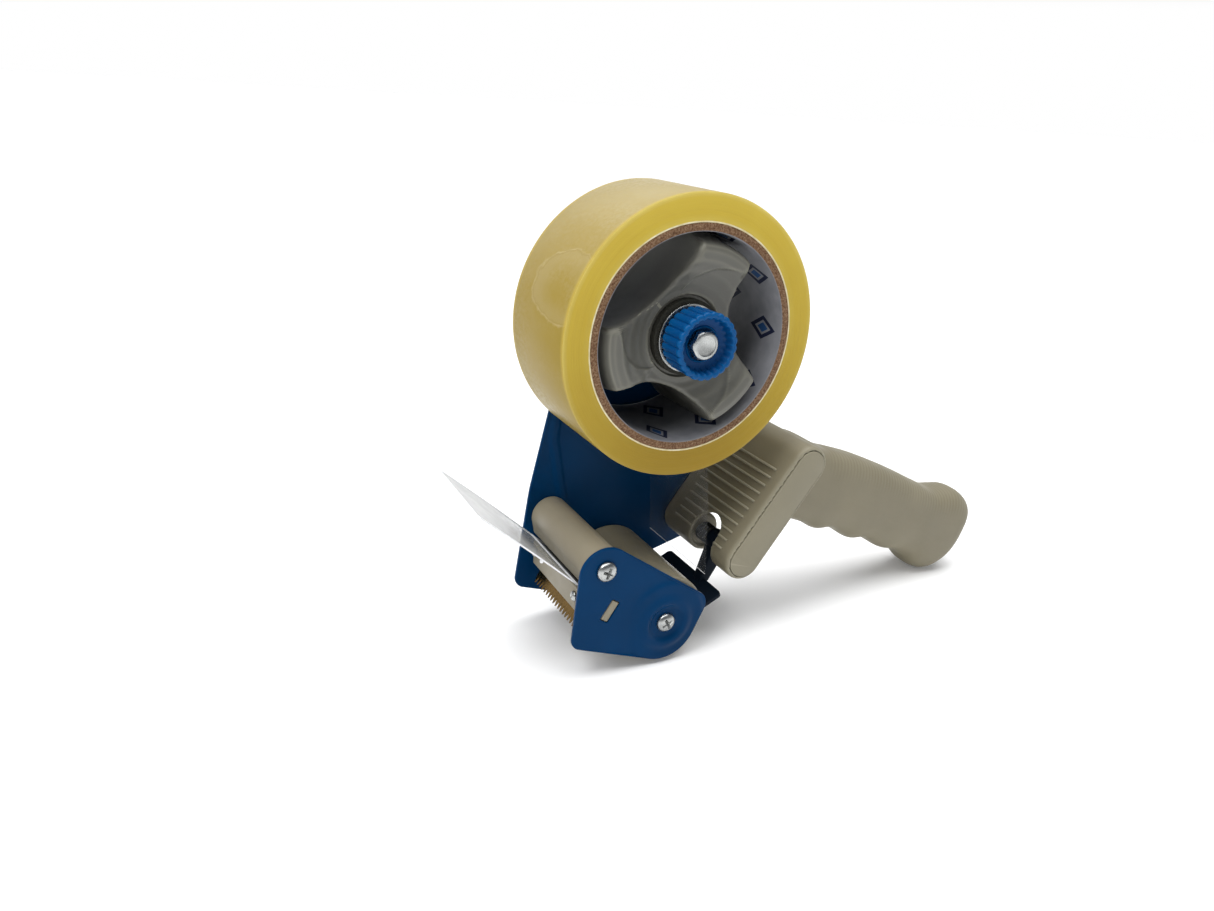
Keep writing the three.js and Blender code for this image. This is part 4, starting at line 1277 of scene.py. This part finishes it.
def knob_profile(angle):
    """Closed section of the knob: fluted wall, thick rim, deep front recess and hollow back."""
    front, back = KNOB_LOW.y, KNOB_HIGH.y
    wave = 1 - abs(sin(FLUTES * angle / 2)) ** 0.75
    wall = KNOB_RADIUS - 0.3 - 0.6 * wave
    lip = KNOB_RADIUS - 0.6 * wave
    mouth = KNOB_RADIUS - 2.1 - 0.45 * wave
    return [
        (wall - 0.6, back), (wall, back - 0.5), (wall + 0.02, back - 5), (wall + 0.08, front + 3.0),
        (lip - 0.1, front + 1.9), (lip, front + 1.3), (lip - 0.15, front + 0.55),
        (lip - 0.65, front + 0.1), (lip - 1.2, front), (mouth + 0.35, front + 0.08),
        (mouth, front + 0.45), (mouth - 0.4, front + 3.8), (KNOB_RADIUS - 3.6, front + 4.6),
        (6.7, front + 4.7), (6.4, front + 4.2), (6.0, front + 4.5), (5.95, front + 5.6),
        (3.3, front + 5.6), (3.3, front + 7.2),
        (KNOB_RADIUS - 3.4, front + 7.2), (KNOB_RADIUS - 3.0, front + 7.6),
        (KNOB_RADIUS - 3.0, back - 0.3), (KNOB_RADIUS - 2.7, back)]


def bolt():
    """The knob's hexagon bolt: a domed head with a shallow dish, and a smooth stem."""
    head, end = (corner.y for corner in span("knob_bolt"))
    dome = revolve([(0, head), (4.35, head), (4.95, head + 0.35), (5.5, head + 1.2),
                    (5.9, head + 2.2), (5.9, head + 5), (0, head + 5)], 96)
    dish = revolve([(0, head - 1), (3.9, head - 1), (3.75, head + 0.25), (3.2, head + 0.55),
                    (0, head + 0.5)], 64)
    stem = revolve([(0, head + 2), (2.95, head + 2), (2.95, end - 0.5), (2.5, end), (0, end)], 48)
    return join(cut(common(hexagon(10, head, head + 3.8), dome), dish), stem)


piece("tension_knob_fluted", revolve(None, FLUTES * 14, shape=knob_profile), KNOB_PLASTIC, "knob",
      "blue_knob_plastic", "tension_knob", sharp=45)
piece("knob_hex_bolt", bolt(), ZINC, "knob", "zinc_steel", "knob_bolt")
piece("brake_wire_spring", coil(6.3, 1.3, -24.0, -20.95, 2.4, 0.0, 0.0), WIRE_STEEL, "carriage",
      "spring_steel", "brake_spring")

# ---- roll of tape ----


def tape_ring():
    """The wound film: its sides carry faint steps where the winding shifted."""
    outer, inner, steps = ROLL.x, CORE + GAP, 26
    sides = []
    for i in range(steps + 1):
        wander = 0.05 * sin(i * 2.4) + 0.03 * sin(i * 5.3 + 1)
        sides.append((inner + (outer - 0.35 - inner) * i / steps, EDGE - 0.08 + wander))
    corner = [(outer - 0.1, -EDGE + 0.12), (outer, -EDGE + 0.4), (outer, 0), (outer, EDGE - 0.4),
              (outer - 0.1, EDGE - 0.12)]
    return revolve([(r, -y) for r, y in sides] + corner + sides[::-1], 288)


piece("tape_wound_film", tape_ring(), TAPE, "roll", "wound_tape", "tape_roll", sharp=50)
piece("tape_card_core", ring_solid(CORE - 0.05, LINER + 0.1, -EDGE, EDGE, 0.25, 288), CARD, "roll",
      "card_core", "tape_core")
piece("tape_core_lining", ring_solid(LINER + 0.12, LINER - 0.14, -EDGE + 0.12, EDGE - 0.12, 0.06,
                                     288), PAPER, "roll", "paper_liner", "core_liner")
piece("tape_first_wrap", ring_solid(CORE + 0.5, CORE - 0.05, -EDGE - 0.02, EDGE + 0.02, 0.12,
                                    288), PALE_WRAP, "roll", "wound_tape", "tape_roll")


def tape_tail():
    """The loose end of film, which curls a little; only its cut end uses the second material, a
    painted highlight.
    """
    rows, columns, thick = 40, 16, 0.3
    line = spline([Vector(p) for p in ((11.1, -50.5), (13.4, -71), (15.2, -96.5))], rows)

    def spot(i, k, side):
        share = 2 * k / columns - 1
        curl = 0.5 * (1 - share * share) * sin(pi * i / rows)
        return line[i].x + thick * side + curl * 0.4, (EDGE - 0.05) * share, line[i].y
    return thin_sheet(rows, columns, spot, only_end=True)


piece("tape_loose_end", tape_tail(), [FILM, FILM_EDGE_HIGHLIGHT], "frame", "tape_film", "tape_tail")

# ---- stage, lights and camera ----


def floor():
    bm = bmesh.new()
    bmesh.ops.create_circle(bm, cap_ends=True, segments=64, radius=30)
    made = linked("floor", to_mesh("floor", bm))
    made.location = (0, 0, cad_low.z - 0.0003)
    look = Look("floor_white", (0.95, 0.95, 0.95), 0.8, Emission_Color=(1, 1, 1, 1),
                Emission_Strength=0.09)
    made.data.materials.append(look.material)


def softbox(name, spot, aim, size, power):
    data = bpy.data.lights.new(name, "AREA")
    data.shape = "RECTANGLE"
    data.size, data.size_y = size
    data.energy = power
    lamp = linked(name, data)
    lamp.location = spot
    lamp.rotation_euler = (Vector(aim) - Vector(spot)).to_track_quat("-Z", "Y").to_euler()


def studio():
    """Soft light from above and the left, dim surroundings, and a bright band at the horizon."""
    world = bpy.data.worlds.new("studio")
    world.use_nodes = True
    tree = world.node_tree
    background = tree.nodes["Background"]
    direction = tree.nodes.new("ShaderNodeTexCoord").outputs["Generated"]
    height = tree.nodes.new("ShaderNodeSeparateXYZ")
    tree.links.new(direction, height.inputs[0])
    ramp = tree.nodes.new("ShaderNodeValToRGB")
    tree.links.new(height.outputs[2], ramp.inputs[0])
    stops = ((0.10, (1.0, 1.0, 1.0)), (0.27, (0.25, 0.26, 0.28)))
    for element, (position, colour) in zip(ramp.color_ramp.elements, stops):
        element.position = position
        element.color = (*colour, 1)
    tree.links.new(ramp.outputs[0], background.inputs[0])
    bpy.context.scene.world = world
    aim = (cad_low + cad_high) / 2
    softbox("key", aim + Vector((-0.42, -0.10, 0.50)), aim, (0.35, 0.35), 2.3)
    softbox("top", aim + Vector((0.25, 0.10, 0.60)), aim, (0.5, 0.4), 1.6)
    sun = bpy.data.lights.new("sky", "SUN")
    sun.energy = 2.6
    sun.angle = radians(60)
    linked("sky", sun)
    bpy.context.scene.view_settings.view_transform = "Standard"


def camera():
    """A pinhole camera placed from the hub, with the photograph's width of view."""
    ahead = Vector((0.4389, 0.8215, -0.364)).normalized()
    right = Vector((0.8908, -0.4509, 0.0564)).normalized()
    up = right.cross(ahead).normalized()
    right = ahead.cross(up)
    from_hub = Vector((-0.1738, -0.2876, 0.0779))
    data = bpy.data.cameras.new("camera")
    data.sensor_width = 36
    data.lens = 27.045
    data.clip_start = 0.01
    data.clip_end = 100
    made = linked("camera", data)
    made.matrix_world = (Matrix.Translation(HUB_CENTRE + from_hub)
                         @ Matrix((right, up, -ahead)).transposed().to_4x4())
    bpy.context.scene.camera = made


floor()
studio()
camera()
